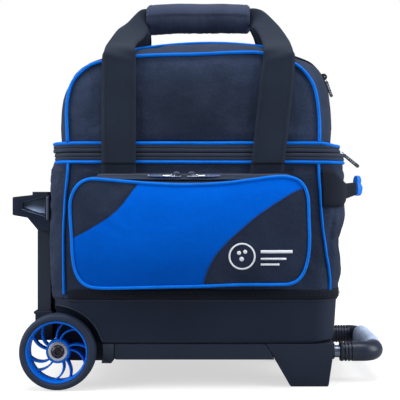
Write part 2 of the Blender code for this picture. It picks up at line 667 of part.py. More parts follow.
# ---------------------------------------------------------------- grab handle on the +X end
GRAB_CORNER_R = BODY_R + 1.9
GRAB_FREE = ((206.2, -66, 46, 266.5), (215, -49, 38, 269.0),   # x, y, web height, middle z
             (228.5, -30, 28, 272.4), (235.0, -13, 26, 273.4))


def build_grab_handle():
    half = []
    for k in range(6):
        a = math.radians(-88 + 88 * k / 5)
        half.append((BODY_CX + BODY_HX - BODY_R + GRAB_CORNER_R * math.cos(a),
                     -(BODY_HY - BODY_R) + GRAB_CORNER_R * math.sin(a), 48, 266.5))
    half += GRAB_FREE
    stations = half + [(x, -y, height, z) for x, y, height, z in half[::-1]]
    path = [Vector((x, y)) for x, y, _, _ in stations]
    normals = []
    for k in range(len(path)):
        along = tangent(path, k)
        normals.append(Vector((along.y, -along.x, 0)))

    web = [((x, y, z), (0, 0, height / 2), normal)
           for (x, y, height, z), normal in zip(stations, normals)]
    add("side_handle_strap", strip(web, 2.4), WEBBING)
    grip = [(Vector((*path[k], 273.6)) + normals[k] * 4.6, (0, 0, 14.7), normals[k])
            for k in range(8, 12)]
    add("side_handle_grip", strip(grip, 6.0), BLUE_RUBBER)


# ---------------------------------------------------------------- lift handle on the +X end
BEND_X = LIFT_X - LIFT_BEND
SLEEVE_R, GROOVE_R, SLEEVE_BORE = 13.5, 11.8, 9.3
SLEEVE_STATIONS = (                                 # x, radius along the straight part
    (201, SLEEVE_R), (205.5, SLEEVE_R), (206.5, GROOVE_R), (207.5, GROOVE_R), (208.5, SLEEVE_R),
    (212.5, SLEEVE_R), (213.5, GROOVE_R), (214.5, GROOVE_R), (215.5, SLEEVE_R),
    (BEND_X, SLEEVE_R))
LIFT_GRIP_RINGS = (                                 # y, half x, half z: outside, then the bore
    (-47, 12.2, 16.0), (-44, 13.0, 17.3), (44, 13.0, 17.3), (47, 12.2, 16.0),
    (47, SLEEVE_BORE, SLEEVE_BORE), (-47, SLEEVE_BORE, SLEEVE_BORE))


def lift_path(straight_xs, side, last_y):
    """Along the side at the given x, round the corner and across to last_y."""
    points = [Vector((x, side * LIFT_Y, LIFT_Z)) for x in straight_xs]
    for k in range(1, 6):
        t = math.radians(90 * k / 5)
        points.append(Vector((BEND_X + LIFT_BEND * math.sin(t),
                              side * (LIFT_Y - LIFT_BEND + LIFT_BEND * math.cos(t)), LIFT_Z)))
    return points + [Vector((LIFT_X, side * last_y, LIFT_Z))]


def lift_sleeve(side):
    path = lift_path([x for x, _ in SLEEVE_STATIONS], side, 47.6)
    radii = [r for _, r in SLEEVE_STATIONS]
    radii += [SLEEVE_R] * (len(path) - len(radii))
    angles = [2 * math.pi * k / 14 for k in range(14)]
    outer, inner = [], []
    for k, (p, radius) in enumerate(zip(path, radii)):
        across = Z_AXIS.cross(tangent(path, k))
        ring = [across * math.cos(a) + Z_AXIS * math.sin(a) for a in angles]
        outer.append([p + v * radius for v in ring])
        inner.append([p + v * SLEEVE_BORE for v in ring])
    return loft(outer + inner[::-1], ring=True)


def build_lift_handle():
    near = lift_path((152.0, BEND_X), -1, 30)
    far = [Vector((p.x, -p.y, p.z)) for p in near[::-1]]
    cord("lift_handle_tube", near + far, LIFT_R, DARK_TUBE, resolution=3)
    for name, side in SIDES:
        add(f"lift_sleeve_{name}", lift_sleeve(side), PLASTIC)
    angles = [2 * math.pi * k / 18 for k in range(18)]
    rings = [[(LIFT_X + hx * math.cos(t), y, LIFT_Z + hz * math.sin(t)) for t in angles]
             for y, hx, hz in LIFT_GRIP_RINGS]
    add("lift_handle_grip", loft(rings, ring=True), GREY_RUBBER)


# ---------------------------------------------------------------- telescopic pull handle
INNERMOST_TOP = 257.4                               # the innermost tubes end inside the grip
TOP_OUTLINE = [                                     # x, z
    (-247.7, 256.0), (-247.7, 233.4), (-246.3, 232.4), (-227.4, 228.8), (-212.8, 211.4),
    (-197.8, 211.4), (-197.8, 260.4), (-220, 260.0), (-246.5, 257.0)]
# tapering recess in each end of the top bracket: x, z at its mouth and at its floor
RECESS_MOUTH = ((-235, 249.6), (-203.5, 257.3), (-203.5, 230.4), (-235, 240.6))
RECESS_FLOOR = ((-230, 248.6), (-205.0, 255.6), (-205.0, 240.6), (-230, 245.4))
FOOT_OUTLINE = [                                    # x, z
    (-220.3, 101.6), (-220.3, 98.6), (-218.2, 97.6), (-218.2, 65.0), (-215.4, 62.2),
    (-194.6, 62.2), (-194.6, 101.6)]


def box_tube(size, wall, z0, z1, y):
    def rectangle(width, depth):
        return [(TUBE_X + i * width / 2, y + j * depth / 2)
                for i, j in ((1, 1), (-1, 1), (-1, -1), (1, -1))]

    width, depth = size
    return tube_loft(rectangle(width, depth), rectangle(width - 2 * wall, depth - 2 * wall), z0, z1)


def tube_hole(side, size, gap_x, gap_y, z0, z1):
    """A cutter round a tube of the given size, with a gap on each face."""
    hx, hy, y = size[0] / 2 + gap_x, size[1] / 2 + gap_y, side * TUBE_Y
    return block(TUBE_X - hx, TUBE_X + hx, y - hy, y + hy, z0, z1)


def build_tubes():
    for name, side in SIDES:
        y = side * TUBE_Y
        add(f"handle_column_{name}", box_tube(COLUMN_SIZE, COLUMN_WALL, 64.5, 233.0, y), PLASTIC)
        for k, size in enumerate(STAGES):
            top = TUBE_Z1 + 2 * k if k < len(STAGES) - 1 else INNERMOST_TOP
            add(f"handle_tube_{k + 1}_{name}", box_tube(size, STAGE_WALL, TUBE_Z0 + 1.5 * k, top, y),
                DARK_TUBE, f"handle_stage_{k + 1}")


def build_top_bracket():
    bracket = add("handle_top_bracket", prism(TOP_OUTLINE, "Y", -100, 100), PLASTIC)
    cut(bracket, block(-225.2, -200.0, -92, 92, 245.4, 280))
    cut(bracket, block(-243.2, -200.6, -62, 62, 200, 241.5))
    for _, side in SIDES:
        cut(bracket, tube_hole(side, COLUMN_SIZE, 0.4, 0.4, 200, 233.5))
        cut(bracket, tube_hole(side, STAGES[0], 0.6, 0.6, 230, 270))
        cut(bracket, loft([[(x, side * y, z) for x, z in outline]
                           for y, outline in ((101, RECESS_MOUTH), (93.8, RECESS_FLOOR))]))


def build_foot_bracket():
    bracket = add("handle_foot_bracket", prism(FOOT_OUTLINE, "Y", -96, 96), PLASTIC)
    for _, side in SIDES:
        cut(bracket, tube_hole(side, COLUMN_SIZE, 0.3, 0.3, 64.2, 120))
    cut(bracket, block(-216.2, -196.6, -62, 62, 50, 95))


def build_pull_grip():
    grip = add("pull_grip", block(-223.6, -201.6, -90.0, 90.0, 246.0, 264.2), PLASTIC,
               "handle_stage_4")
    cut(grip, block(-217.9, -206.1, -13.0, 13.0, 255.0, 280.0))
    for _, side in SIDES:
        cut(grip, tube_hole(side, STAGES[-1], 0.3, 0.3, 240, 258.0))
    add("release_button", block(-217.5, -206.5, -12.5, 12.5, 259.4, 265.2, bevel=0.7), BLUE_RUBBER,
        "release_button")


def centre_over_floor():
    """Moves the bag so that its bounds are centred in x and y and start at z = 0."""
    bpy.context.view_layer.update()
    graph = bpy.context.evaluated_depsgraph_get()
    points = []
    for ob in SCENE.objects:
        if ob.type in ("MESH", "CURVE"):
            shown = ob.evaluated_get(graph)
            points += [shown.matrix_world @ v.co for v in shown.to_mesh().vertices]
            shown.to_mesh_clear()
    low = [min(p[i] for p in points) for i in range(3)]
    high = [max(p[i] for p in points) for i in range(3)]
    AXES["bag_body"].location = (-(low[0] + high[0]) / 2, -(low[1] + high[1]) / 2, -low[2])
    bpy.context.view_layer.update()


build_wheels()
build_axle_bolts()
build_tub()
build_chassis()
build_skid()
build_feet()
build_ball_cup()
build_body_panels()
build_zip_band()
build_lid()
build_pocket()
build_zip_hardware()
build_carry_handles()
build_grab_handle()
build_lift_handle()
build_tubes()
build_top_bracket()
build_foot_bracket()
build_pull_grip()
centre_over_floor()
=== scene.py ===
# A wheeled bowling bag: a moulded base with two wheels at its left end, a cloth body with a
# pocket on the front, and a zipped shoe compartment on top whose rear half swings back.
# Lengths are millimetres in the bag's own frame: X 0 in the middle of the moulded base,
# Y 0 at mid depth, Z 0 on the floor. The front is -Y ("near"), the left end is -X.
import math

import bpy
import bmesh
import numpy as np
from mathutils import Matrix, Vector, noise
from mathutils.geometry import delaunay_2d_cdt


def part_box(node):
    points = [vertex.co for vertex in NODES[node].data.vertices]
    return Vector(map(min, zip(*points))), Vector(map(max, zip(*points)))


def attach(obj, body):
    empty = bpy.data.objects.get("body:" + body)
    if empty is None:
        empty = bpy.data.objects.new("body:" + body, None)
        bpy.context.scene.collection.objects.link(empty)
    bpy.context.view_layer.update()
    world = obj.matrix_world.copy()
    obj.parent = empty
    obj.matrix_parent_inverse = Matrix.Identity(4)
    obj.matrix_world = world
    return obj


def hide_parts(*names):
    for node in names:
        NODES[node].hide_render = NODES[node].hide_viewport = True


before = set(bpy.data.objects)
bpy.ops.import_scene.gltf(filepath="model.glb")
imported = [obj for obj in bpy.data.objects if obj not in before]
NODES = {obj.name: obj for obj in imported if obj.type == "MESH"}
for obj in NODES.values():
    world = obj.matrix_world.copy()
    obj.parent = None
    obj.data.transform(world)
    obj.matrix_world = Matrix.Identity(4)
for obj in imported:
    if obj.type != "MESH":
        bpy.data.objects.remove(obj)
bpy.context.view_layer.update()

TAU = 2 * math.pi
MM = 0.001
SIDES = ((-1, "near"), (1, "far"))
EYE = (40.0, -1125.0, 257.0)    # where the camera stands
TUB_FOOT = 61.0                 # height of the underside of the moulded base

tub_low, tub_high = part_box("base_tub")
OFFSET = np.array([(tub_low.x + tub_high.x) / 2, (tub_low.y + tub_high.y) / 2,
                   tub_low.z - TUB_FOOT * MM])


def to_scene(points):
    """Takes one point, or an array of them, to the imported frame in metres."""
    return np.asarray(points, float) * MM + OFFSET


# ================================================================ materials
class Shader:
    """A material's node tree, with short calls for the nodes used here."""

    def __init__(self, name, rough, metallic=0.0, sheen=0.0, coat=0.0, spec=0.5):
        self.material = bpy.data.materials.new(name)
        self.material.use_nodes = True
        self.tree = self.material.node_tree
        self.surface = self.tree.nodes["Principled BSDF"]
        for socket, value in (("Roughness", rough), ("Metallic", metallic),
                              ("Sheen Weight", sheen), ("Sheen Roughness", 0.45),
                              ("Coat Weight", coat), ("Coat Roughness", 0.2),
                              ("Specular IOR Level", spec)):
            self.surface.inputs[socket].default_value = value

    def new(self, kind, **props):
        node = self.tree.nodes.new(kind)
        for key, value in props.items():
            setattr(node, key, value)
        return node

    def put(self, socket, value):
        if isinstance(value, bpy.types.NodeSocket):
            self.tree.links.new(value, socket)
        else:
            socket.default_value = value

    def math(self, operation, *values):
        node = self.new("ShaderNodeMath", operation=operation)
        for socket, value in zip(node.inputs, (*values, 0.0, 0.0)):
            self.put(socket, value)
        return node.outputs[0]

    def wave(self, value, period):
        return self.math("SINE", self.math("MULTIPLY", value, TAU / period))

    def uv(self):
        return self.new("ShaderNodeUVMap", uv_map="UVMap").outputs[0]

    def position(self):
        return self.new("ShaderNodeTexCoord").outputs["Object"]

    def split(self, vector):
        node = self.new("ShaderNodeSeparateXYZ")
        self.put(node.inputs[0], vector)
        return node.outputs

    def noise(self, vector, scale, detail=2.0, rough=0.5):
        node = self.new("ShaderNodeTexNoise")
        self.put(node.inputs["Vector"], vector)
        self.put(node.inputs["Scale"], scale)
        self.put(node.inputs["Detail"], detail)
        self.put(node.inputs["Roughness"], rough)
        return node.outputs["Fac"]

    def remap(self, value, source, to):
        node = self.new("ShaderNodeMapRange")
        for key, number in (("Value", value), ("From Min", source[0]), ("From Max", source[1]),
                            ("To Min", to[0]), ("To Max", to[1])):
            self.put(node.inputs[key], number)
        return node.outputs["Result"]

    def mottle(self, vector, scale, to, detail=2.0):
        """Patches that vary between the two values of to."""
        return self.remap(self.noise(vector, scale, detail), source=(0.3, 0.7), to=to)

    def mix(self, factor, first, second):
        node = self.new("ShaderNodeMix", data_type="RGBA", blend_type="MIX")
        for index, value in ((0, factor), (6, first), (7, second)):
            self.put(node.inputs[index], value)
        return node.outputs[2]

    def shaded(self, shade, base):
        node = self.new("ShaderNodeVectorMath", operation="SCALE")
        node.inputs[0].default_value = base
        self.put(node.inputs["Scale"], shade)
        return node.outputs[0]

    def colour(self, value):
        self.put(self.surface.inputs["Base Color"], value)

    def rough(self, value):
        self.put(self.surface.inputs["Roughness"], value)

    def bump(self, height, distance):
        """Adds relief, over any relief already there."""
        node = self.new("ShaderNodeBump")
        node.inputs["Distance"].default_value = distance
        node.inputs["Strength"].default_value = 1.0
        self.put(node.inputs["Height"], height)
        normal = self.surface.inputs["Normal"]
        if normal.is_linked:
            self.put(node.inputs["Normal"], normal.links[0].from_socket)
        self.put(normal, node.outputs[0])


def fabric(name, base, pitch, rough=0.78, sheen=0.04, contrast=0.2, depth=0.00012, broad=0.14,
           spec=0.12, tint=None, crease=0.0, painted_shading=None, fleck=0.1):
    """Plain weave. pitch is the thread spacing in mm; contrast, broad and fleck vary the shade;
    painted_shading paints light and shade across a panel.
    """
    mat = Shader(name, rough=rough, sheen=sheen, spec=spec)
    uv = mat.uv()
    across, along, _ = mat.split(uv)
    warp = mat.wave(across, period=2 * pitch)
    weft = mat.wave(along, period=2 * pitch)
    over = mat.math("MULTIPLY_ADD", mat.math("MULTIPLY", warp, weft), 0.5, 0.5)
    height = mat.math("ADD", mat.math("MULTIPLY", over, mat.math("ABSOLUTE", warp)),
                      mat.math("MULTIPLY", mat.math("SUBTRACT", 1.0, over),
                               mat.math("ABSOLUTE", weft)))
    position = mat.position()
    wide = mat.mottle(position, scale=13.0, detail=3.0, to=(1 - broad, 1 + broad))
    slub = mat.remap(mat.noise(uv, scale=0.42, rough=0.75),
                     source=(0.25, 0.75), to=(1 - fleck, 1 + fleck))
    shade = mat.math("MULTIPLY", mat.math("MULTIPLY", wide, slub),
                     mat.remap(height, source=(0.0, 1.0), to=(1 - contrast, 1 + contrast)))
    if painted_shading:       # painted shading: one shade in the middle of a panel, another towards its edges, for how light falls
        x, _, z = mat.split(position)
        squares = []
        for value, axis in ((x, "x"), (z, "z")):
            part = mat.math("DIVIDE", mat.math("SUBTRACT", value, painted_shading[axis]), painted_shading["half_" + axis])
            squares.append(mat.math("MULTIPLY", part, part))
        shade = mat.math("MULTIPLY", shade, mat.remap(mat.math("ADD", *squares),
                                                      source=(0.0, 1.2), to=painted_shading["shades"]))
    colour = mat.shaded(shade, base)
    if tint:       # a second hue, in patches
        patches = mat.remap(mat.noise(position, scale=31.0), source=(0.45, 0.75), to=(0.0, 1.0))
        colour = mat.mix(patches, colour, mat.shaded(shade, tint))
    mat.colour(colour)
    mat.rough(mat.remap(height, source=(0, 1), to=(min(1.0, rough + 0.1), rough - 0.05)))
    if crease:
        mat.bump(mat.noise(position, scale=38.0, detail=4.0, rough=0.55), distance=crease)
    mat.bump(height, distance=depth)
    return mat.material


def webbing(name, base):
    """Ribbed web: zigzag ribs across and fine threads along it."""
    rib, thread, rough = 1.7, 0.9, 0.8
    mat = Shader(name, rough=rough, sheen=0.03, spec=0.12)
    across, along, _ = mat.split(mat.uv())
    zigzag = mat.math("MULTIPLY", mat.math("ABSOLUTE", mat.wave(across, period=9.0)), 1.4)
    ribs = mat.math("ABSOLUTE", mat.wave(mat.math("ADD", along, zigzag), period=2 * rib))
    fine = mat.math("ABSOLUTE", mat.wave(across, period=2 * thread))
    height = mat.math("MULTIPLY_ADD", ribs, 0.7, mat.math("MULTIPLY", fine, 0.3))
    wide = mat.mottle(mat.position(), scale=20.0, to=(0.88, 1.12))
    relief = mat.remap(height, source=(0, 1), to=(0.6, 1.3))
    mat.colour(mat.shaded(mat.math("MULTIPLY", wide, relief), base))
    mat.rough(mat.remap(ribs, source=(0, 1), to=(rough + 0.12, rough - 0.04)))
    mat.bump(height, distance=0.00022)
    return mat.material


def plastic(name, base, rough=0.46, grain=2600.0, depth=0.00006, wear=0.25, spec=0.22, coat=0.0):
    """Moulded plastic with a fine grain, paler where edges are rubbed."""
    mat = Shader(name, rough=rough, spec=spec, coat=coat)
    position = mat.position()
    fine = mat.noise(position, scale=grain)
    broad = mat.mottle(position, scale=11.0, detail=3.0, to=(0.88, 1.12))
    edge = mat.remap(mat.new("ShaderNodeNewGeometry").outputs["Pointiness"],
                     source=(0.52, 0.62), to=(0.0, wear))
    mat.colour(mat.mix(edge, mat.shaded(broad, base), (0.12, 0.14, 0.18, 1)))
    mat.rough(mat.math("ADD", mat.remap(fine, source=(0.3, 0.7), to=(rough - 0.05, rough + 0.07)),
                       mat.math("MULTIPLY", broad, 0.02)))
    mat.bump(fine, distance=depth)
    return mat.material


def rubber(name, base, rough=0.62, spec=0.25):
    mat = Shader(name, rough=rough, spec=spec)
    position = mat.position()
    fine = mat.noise(position, scale=1500.0, detail=3.0)
    mat.colour(mat.shaded(mat.mottle(position, scale=22.0, detail=3.0, to=(0.9, 1.12)), base))
    mat.rough(mat.remap(fine, source=(0.3, 0.7), to=(rough - 0.06, rough + 0.08)))
    mat.bump(fine, distance=0.00008)
    return mat.material


def metal(name, base, rough):
    mat = Shader(name, rough=rough, metallic=1.0)
    position = mat.position()
    fine = mat.noise(position, scale=900.0)
    mat.colour(mat.shaded(mat.mottle(position, scale=60.0, to=(0.92, 1.06)), base))
    mat.rough(mat.remap(fine, source=(0.3, 0.7), to=(rough - 0.06, rough + 0.1)))
    mat.bump(fine, distance=0.00002)
    return mat.material


def cord(name, base):
    """Bias tape sewn over a cord: fine diagonal threads."""
    mat = Shader(name, rough=0.42, spec=0.07)
    across, along, _ = mat.split(mat.uv())
    slant = mat.math("ADD", along, mat.math("MULTIPLY", across, 0.6))
    threads = mat.wave(slant, period=0.9)
    wide = mat.mottle(mat.position(), scale=40.0, to=(0.9, 1.1))
    relief = mat.remap(threads, source=(-1, 1), to=(0.93, 1.05))
    mat.colour(mat.shaded(mat.math("MULTIPLY", wide, relief), base))
    mat.bump(threads, distance=0.00005)
    return mat.material


def scoop_painted_light():
    """Plastic with painted light: a painted highlight on a scoop's lower lip, and painted shade
    darkening up into the scoop and towards its ends.
    """
    mat = Shader("scoop_painted_light", rough=0.5, spec=0.1)
    across, along, _ = mat.split(mat.uv())
    position = mat.position()
    shade = mat.math("MULTIPLY", mat.mottle(position, scale=30.0, detail=3.0, to=(0.9, 1.1)),
                     mat.remap(along, source=(0.08, 0.52), to=(1.0, 0.16)))
    off_centre = mat.math("ABSOLUTE", mat.math("SUBTRACT", across, 0.42))
    shade = mat.math("MULTIPLY", shade, mat.remap(off_centre, source=(0.1, 0.6), to=(1.0, 0.45)))
    mat.colour(mat.shaded(shade, (0.34, 0.46, 0.72)))
    mat.bump(mat.noise(position, scale=2600.0), distance=0.00004)
    return mat.material


OUTER = dict(pitch=1.0, tint=(0.022, 0.033, 0.066), crease=0.0030, fleck=0.30, spec=0.10,
             sheen=0.03)
BLACK = fabric("polyester_black", (0.0165, 0.0262, 0.0540), **OUTER)
# the dome's end panels: the black cloth with painted shading, darker in the middle and lighter
# towards the sides and top
DOME_PAINTED_SHADING = fabric("polyester_black_dome_painted_shading", (0.0165, 0.0262, 0.0530), **OUTER,
              painted_shading=dict(x=0.0, z=0.368, half_x=0.150, half_z=0.072, shades=(0.66, 1.55)))
PANEL = fabric("polyester_black_panel", (0.0132, 0.0212, 0.0440), pitch=1.0, crease=0.0016,
               tint=(0.0175, 0.0265, 0.0530), fleck=0.28, spec=0.08, sheen=0.03)
# black binding darkened further as painted shade; the main zip's coil uses it too
BINDING_PAINTED_SHADE = fabric("binding_black_painted_shade", (0.0058, 0.0082, 0.0155), pitch=0.8)
LINING = fabric("lining_grey", (0.035, 0.038, 0.045), pitch=0.7, rough=0.9)
# the pocket's blue, with painted shading: lighter at its top, darker towards its bottom
BLUE = fabric("polyester_blue_painted_shading", (0.0, 0.0985, 0.575), pitch=1.0, rough=0.7, sheen=0.0,
              contrast=0.1, broad=0.05, spec=0.015, crease=0.0014,
              painted_shading=dict(x=0.0, z=0.288, half_x=9.0, half_z=0.112, shades=(1.08, 0.72)))
PIPING = cord("piping_blue", (0.0, 0.146, 0.68))
WEBBING = webbing("webbing_black", (0.0120, 0.0186, 0.0335))
SIDEWEB = webbing("webbing_side", (0.0060, 0.0095, 0.0185))
WRAP = fabric("wrap_black", (0.027, 0.038, 0.074), pitch=0.8, rough=0.75, sheen=0.05,
              tint=(0.034, 0.046, 0.086), crease=0.0020)
TAPE = fabric("zip_tape", (0.024, 0.033, 0.056), pitch=0.65, rough=0.75, contrast=0.3)
# a darker copy of the zip tape, as painted shade, for the shoe zip
TAPE_PAINTED_SHADE = fabric("zip_tape_painted_shade", (0.0095, 0.0135, 0.0250), pitch=0.65, rough=0.75,
                   contrast=0.3)
FOAM = fabric("cup_foam", (0.03, 0.03, 0.034), pitch=2.2, rough=0.95, depth=0.0003)
PLASTIC = plastic("moulded_black", (0.0120, 0.0175, 0.0345), spec=0.05)
GLOSS = plastic("moulded_gloss", (0.0135, 0.020, 0.040), rough=0.3, spec=0.28)
TUBE = plastic("column_black", (0.018, 0.024, 0.040), rough=0.38, spec=0.1)
TYRE = rubber("tyre_grey", (0.022, 0.032, 0.058), rough=0.5, spec=0.12)
RIM = plastic("rim_blue", (0.0, 0.112, 0.57), rough=0.3, grain=900.0, depth=0.00001, wear=0.0,
              spec=0.12, coat=0.10)
STEEL = metal("bearing_steel", (0.46, 0.49, 0.56), rough=0.3)
NICKEL = metal("pull_nickel", (0.52, 0.57, 0.66), rough=0.26)
GUNMETAL = metal("slider_gunmetal", (0.20, 0.22, 0.26), rough=0.3)
BOLT = metal("bolt_black_oxide", (0.045, 0.042, 0.055), rough=0.36)
ALUMINIUM = metal("tube_anodised", (0.20, 0.24, 0.32), rough=0.34)
GREY_GRIP = rubber("grip_grey", (0.50, 0.61, 0.84), rough=0.6)
BLUE_GRIP = rubber("grip_blue", (0.006, 0.15, 0.66), rough=0.5)
PULL_RUBBER = rubber("pull_black", (0.016, 0.020, 0.032), rough=0.5)
THREAD = rubber("thread_dark", (0.010, 0.014, 0.027), rough=0.7)
WHITE = fabric("label_pale", (0.66, 0.71, 0.78), pitch=0.6, rough=0.7, contrast=0.1)
# scoop plastic: painted highlight on the lower lip, painted shade up inside
SCOOP_PAINTED_LIGHT = scoop_painted_light()
# the black plastic made paler, as a painted highlight down the bracket's rib
RIB_PAINTED_HIGHLIGHT = plastic("moulded_rib_painted_highlight", (0.050, 0.070, 0.115), spec=0.2)


# ================================================================ lines and curves
def clamp(value):
    return min(1.0, max(0.0, value))


def smoothstep(value):
    return value * value * (3 - 2 * value)


def unit(vectors):
    return vectors / np.maximum(1e-9, np.linalg.norm(vectors, axis=-1, keepdims=True))


def run_length(points):
    """Distance along a line at each of its points."""
    return np.r_[0, np.cumsum(np.linalg.norm(np.diff(points, axis=0), axis=1))]


def spread(values, distance, count):
    """The columns of values at evenly spaced distances."""
    stops = np.linspace(0, distance[-1], count)
    return np.stack([np.interp(stops, distance, column) for column in values.T], 1)


def resample(points, count, closed=False):
    line = np.asarray(points, float)
    if closed:
        line = np.vstack([line, line[:1]])
        return spread(line, run_length(line), count + 1)[:-1]
    return spread(line, run_length(line), count)


def spline(points, count, closed=False):
    """Catmull-Rom curve through the points, evenly spaced."""
    pts = np.asarray(points, float)
    total = len(pts)
    curve = []
    for i in range(total if closed else total - 1):
        start, end = pts[i], pts[(i + 1) % total]
        before = pts[i - 1] if closed or i else 2 * start - end
        after = pts[(i + 2) % total] if closed or i + 2 < total else 2 * end - start
        for k in range(12):
            t = k / 12
            curve.append(0.5 * ((2 * start) + (end - before) * t
                                + (2 * before - 5 * start + 4 * end - after) * t * t
                                + (3 * start - before - 3 * end + after) * t ** 3))
    if not closed:
        curve.append(pts[-1])
    return resample(curve, count, closed)


def ripple(x, y, z, size, seed=0.0):
    """Smooth noise in about -1..1; size is the length of a wave in mm."""
    return noise.noise(Vector((x / size + seed, y / size - seed, z / size + 0.37 * seed)))


def circle(radius, count):
    return [(radius * math.cos(TAU * k / count), radius * math.sin(TAU * k / count))
            for k in range(count)]


def rounded(half_x, half_y, corner, steps, centre_x):
    """A rectangle with rounded corners, anticlockwise from its right side."""
    pts = []
    for sign_x, sign_y, start in ((1, 1, 0), (-1, 1, 90), (-1, -1, 180), (1, -1, 270)):
        for k in range(steps + 1):
            t = math.radians(start + 90 * k / steps)
            pts.append((centre_x + sign_x * (half_x - corner) + corner * math.cos(t),
                        sign_y * (half_y - corner) + corner * math.sin(t)))
    return pts


def loop_outward(loop):
    """Outward directions of an anticlockwise loop, not of unit length."""
    step = np.roll(loop, -1, 0) - np.roll(loop, 1, 0)
    return np.stack([step[:, 1], -step[:, 0]], 1)


def line_normals(line):
    """Unit normals to the left of an open line in a plane."""
    step = np.gradient(line, axis=0)
    return unit(np.stack([-step[:, 1], step[:, 0]], 1))


# ================================================================ meshes
def build(name, verts, faces, material, uv=None, index=None, autosmooth=None):
    """A mesh object. uv is one pair for each vertex, index one material slot for each face."""
    mesh = bpy.data.meshes.new(name)
    mesh.from_pydata(to_scene(verts).tolist(), [], faces)
    for item in material if isinstance(material, list) else [material]:
        mesh.materials.append(item)
    if index is not None:
        mesh.polygons.foreach_set("material_index", np.asarray(index, np.int32))
    layer = mesh.uv_layers.new(name="UVMap")
    if uv is not None:
        corners = np.zeros(len(mesh.loops), np.int32)
        mesh.loops.foreach_get("vertex_index", corners)
        layer.data.foreach_set("uv", np.asarray(uv, np.float32)[corners].ravel())
    mesh.shade_smooth()
    if autosmooth:
        mesh.set_sharp_from_angle(angle=math.radians(autosmooth))
    mesh.validate()
    mesh.update()
    ob = bpy.data.objects.new(name, mesh)
    bpy.context.scene.collection.objects.link(ob)
    return ob


def face_out(ob):
    """Turns a sheet's faces to look away from the middle of the bag."""
    mesh, middle = ob.data, Vector(to_scene((0, 0, 280)))
    if sum((p.center - middle).dot(p.normal) * p.area for p in mesh.polygons) < 0:
        mesh.flip_normals()


def finish(ob, slot=None, replaces=None, body="bag_body", thick=0.0, lined=False):
    if thick:
        face_out(ob)
        solid = ob.modifiers.new("thickness", "SOLIDIFY")
        solid.thickness, solid.offset = thick * MM, -1.0
        solid.use_even_offset = False
        if lined:
            solid.material_offset = 1
    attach(ob, body)
    if replaces:
        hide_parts(replaces)
    return ob


def clean(ob, weld=False, bevel=0.0, segments=2):
    """Points the faces outward, after welding or before bevelling if asked."""
    bm = bmesh.new()
    bm.from_mesh(ob.data)
    if weld:
        bmesh.ops.remove_doubles(bm, verts=bm.verts, dist=1e-6)
        bmesh.ops.dissolve_degenerate(bm, edges=bm.edges, dist=1e-7)
    bmesh.ops.recalc_face_normals(bm, faces=bm.faces)
    if bevel:
        bmesh.ops.bevel(bm, geom=bm.edges[:], offset=bevel * MM, segments=segments,
                        affect="EDGES", profile=0.5)
    bm.to_mesh(ob.data)
    bm.free()
    return ob


def grid_faces(rows, columns, closed_u=False, closed_v=False, flip=False):
    faces = []
    for j in range(rows if closed_v else rows - 1):
        for i in range(columns if closed_u else columns - 1):
            here, above = j * columns, ((j + 1) % rows) * columns
            right = (i + 1) % columns
            face = (here + i, here + right, above + right, above + i)
            faces.append((face[0], face[3], face[2], face[1]) if flip else face)
    return faces


def capped_faces(rows, columns):
    """Faces of a tube with both ends closed."""
    last = (rows - 1) * columns
    return grid_faces(rows, columns, closed_u=True) + [
        tuple(range(columns))[::-1], tuple(range(last, last + columns))]


def grid_uv(grid):
    """Length along the middle row and the middle column, in mm."""
    grid = np.asarray(grid, float)
    rows, columns = grid.shape[:2]
    across = run_length(grid[rows // 2])
    along = run_length(grid[:, columns // 2])
    return np.stack([np.tile(across, (rows, 1)), np.tile(along[:, None], (1, columns))],
                    2).reshape(-1, 2)


def sheet(name, grid, material, flip=False, closed_u=False, uv=None):
    grid = np.asarray(grid, float)
    return build(name, grid.reshape(-1, 3),
                 grid_faces(*grid.shape[:2], closed_u=closed_u, flip=flip), material,
                 uv=grid_uv(grid) if uv is None else uv)


def solid_tube(name, rings, material, autosmooth, uv=None):
    """A closed solid through rings of points."""
    rings = np.asarray(rings, float)
    return clean(build(name, rings.reshape(-1, 3), capped_faces(*rings.shape[:2]), material,
                       uv=uv, autosmooth=autosmooth))


def path_frames(path, closed, up):
    """A normal and a binormal along a path, turned as little as possible or held to up."""
    step = (np.roll(path, -1, 0) - np.roll(path, 1, 0)) if closed else np.gradient(path, axis=0)
    tangents = unit(step)
    normal = np.cross(tangents[0], [0.3, 0.5, 0.8])
    normals = []
    for tangent in tangents:
        if up is not None:
            normal = np.array(up, float)
        normal = unit(normal - tangent * (normal @ tangent))
        normals.append(normal)
    normals = np.array(normals)
    if closed and up is None:
        first, last = normals[0], normals[-1]
        turn = math.atan2(np.cross(first, last) @ tangents[0], first @ last)
        for k, tangent in enumerate(tangents):
            angle = -turn * k / len(path)
            normals[k] = (normals[k] * math.cos(angle)
                          + np.cross(tangent, normals[k]) * math.sin(angle))
    return normals, np.cross(tangents, normals)


def sweep(name, path, radius, material, sides=12, closed=False, profile=None, up=None):
    """A round (or profiled) bar along a path. radius may vary along it."""
    path = np.asarray(path, float)
    normals, binormals = path_frames(path, closed, up)
    radii = np.broadcast_to(np.asarray(radius, float), (len(path),))
    shape = np.asarray(profile or circle(1.0, sides), float)
    count = len(shape)
    verts = path[:, None, :] + radii[:, None, None] * (
        normals[:, None, :] * shape[None, :, :1] + binormals[:, None, :] * shape[None, :, 1:2])
    around = run_length(shape) * float(radii.mean())
    uv = np.stack([np.tile(around, (len(path), 1)),
                   np.tile(run_length(path)[:, None], (1, count))], 2).reshape(-1, 2)
    faces = grid_faces(len(path), count, closed_u=True, closed_v=closed, flip=True)
    if not closed:
        faces.append(tuple(range(count)))
        faces.append(tuple(range((len(path) - 1) * count, len(path) * count))[::-1])
    return clean(build(name, verts.reshape(-1, 3), faces, material, uv=uv))


def level(x, y):
    return 0.0


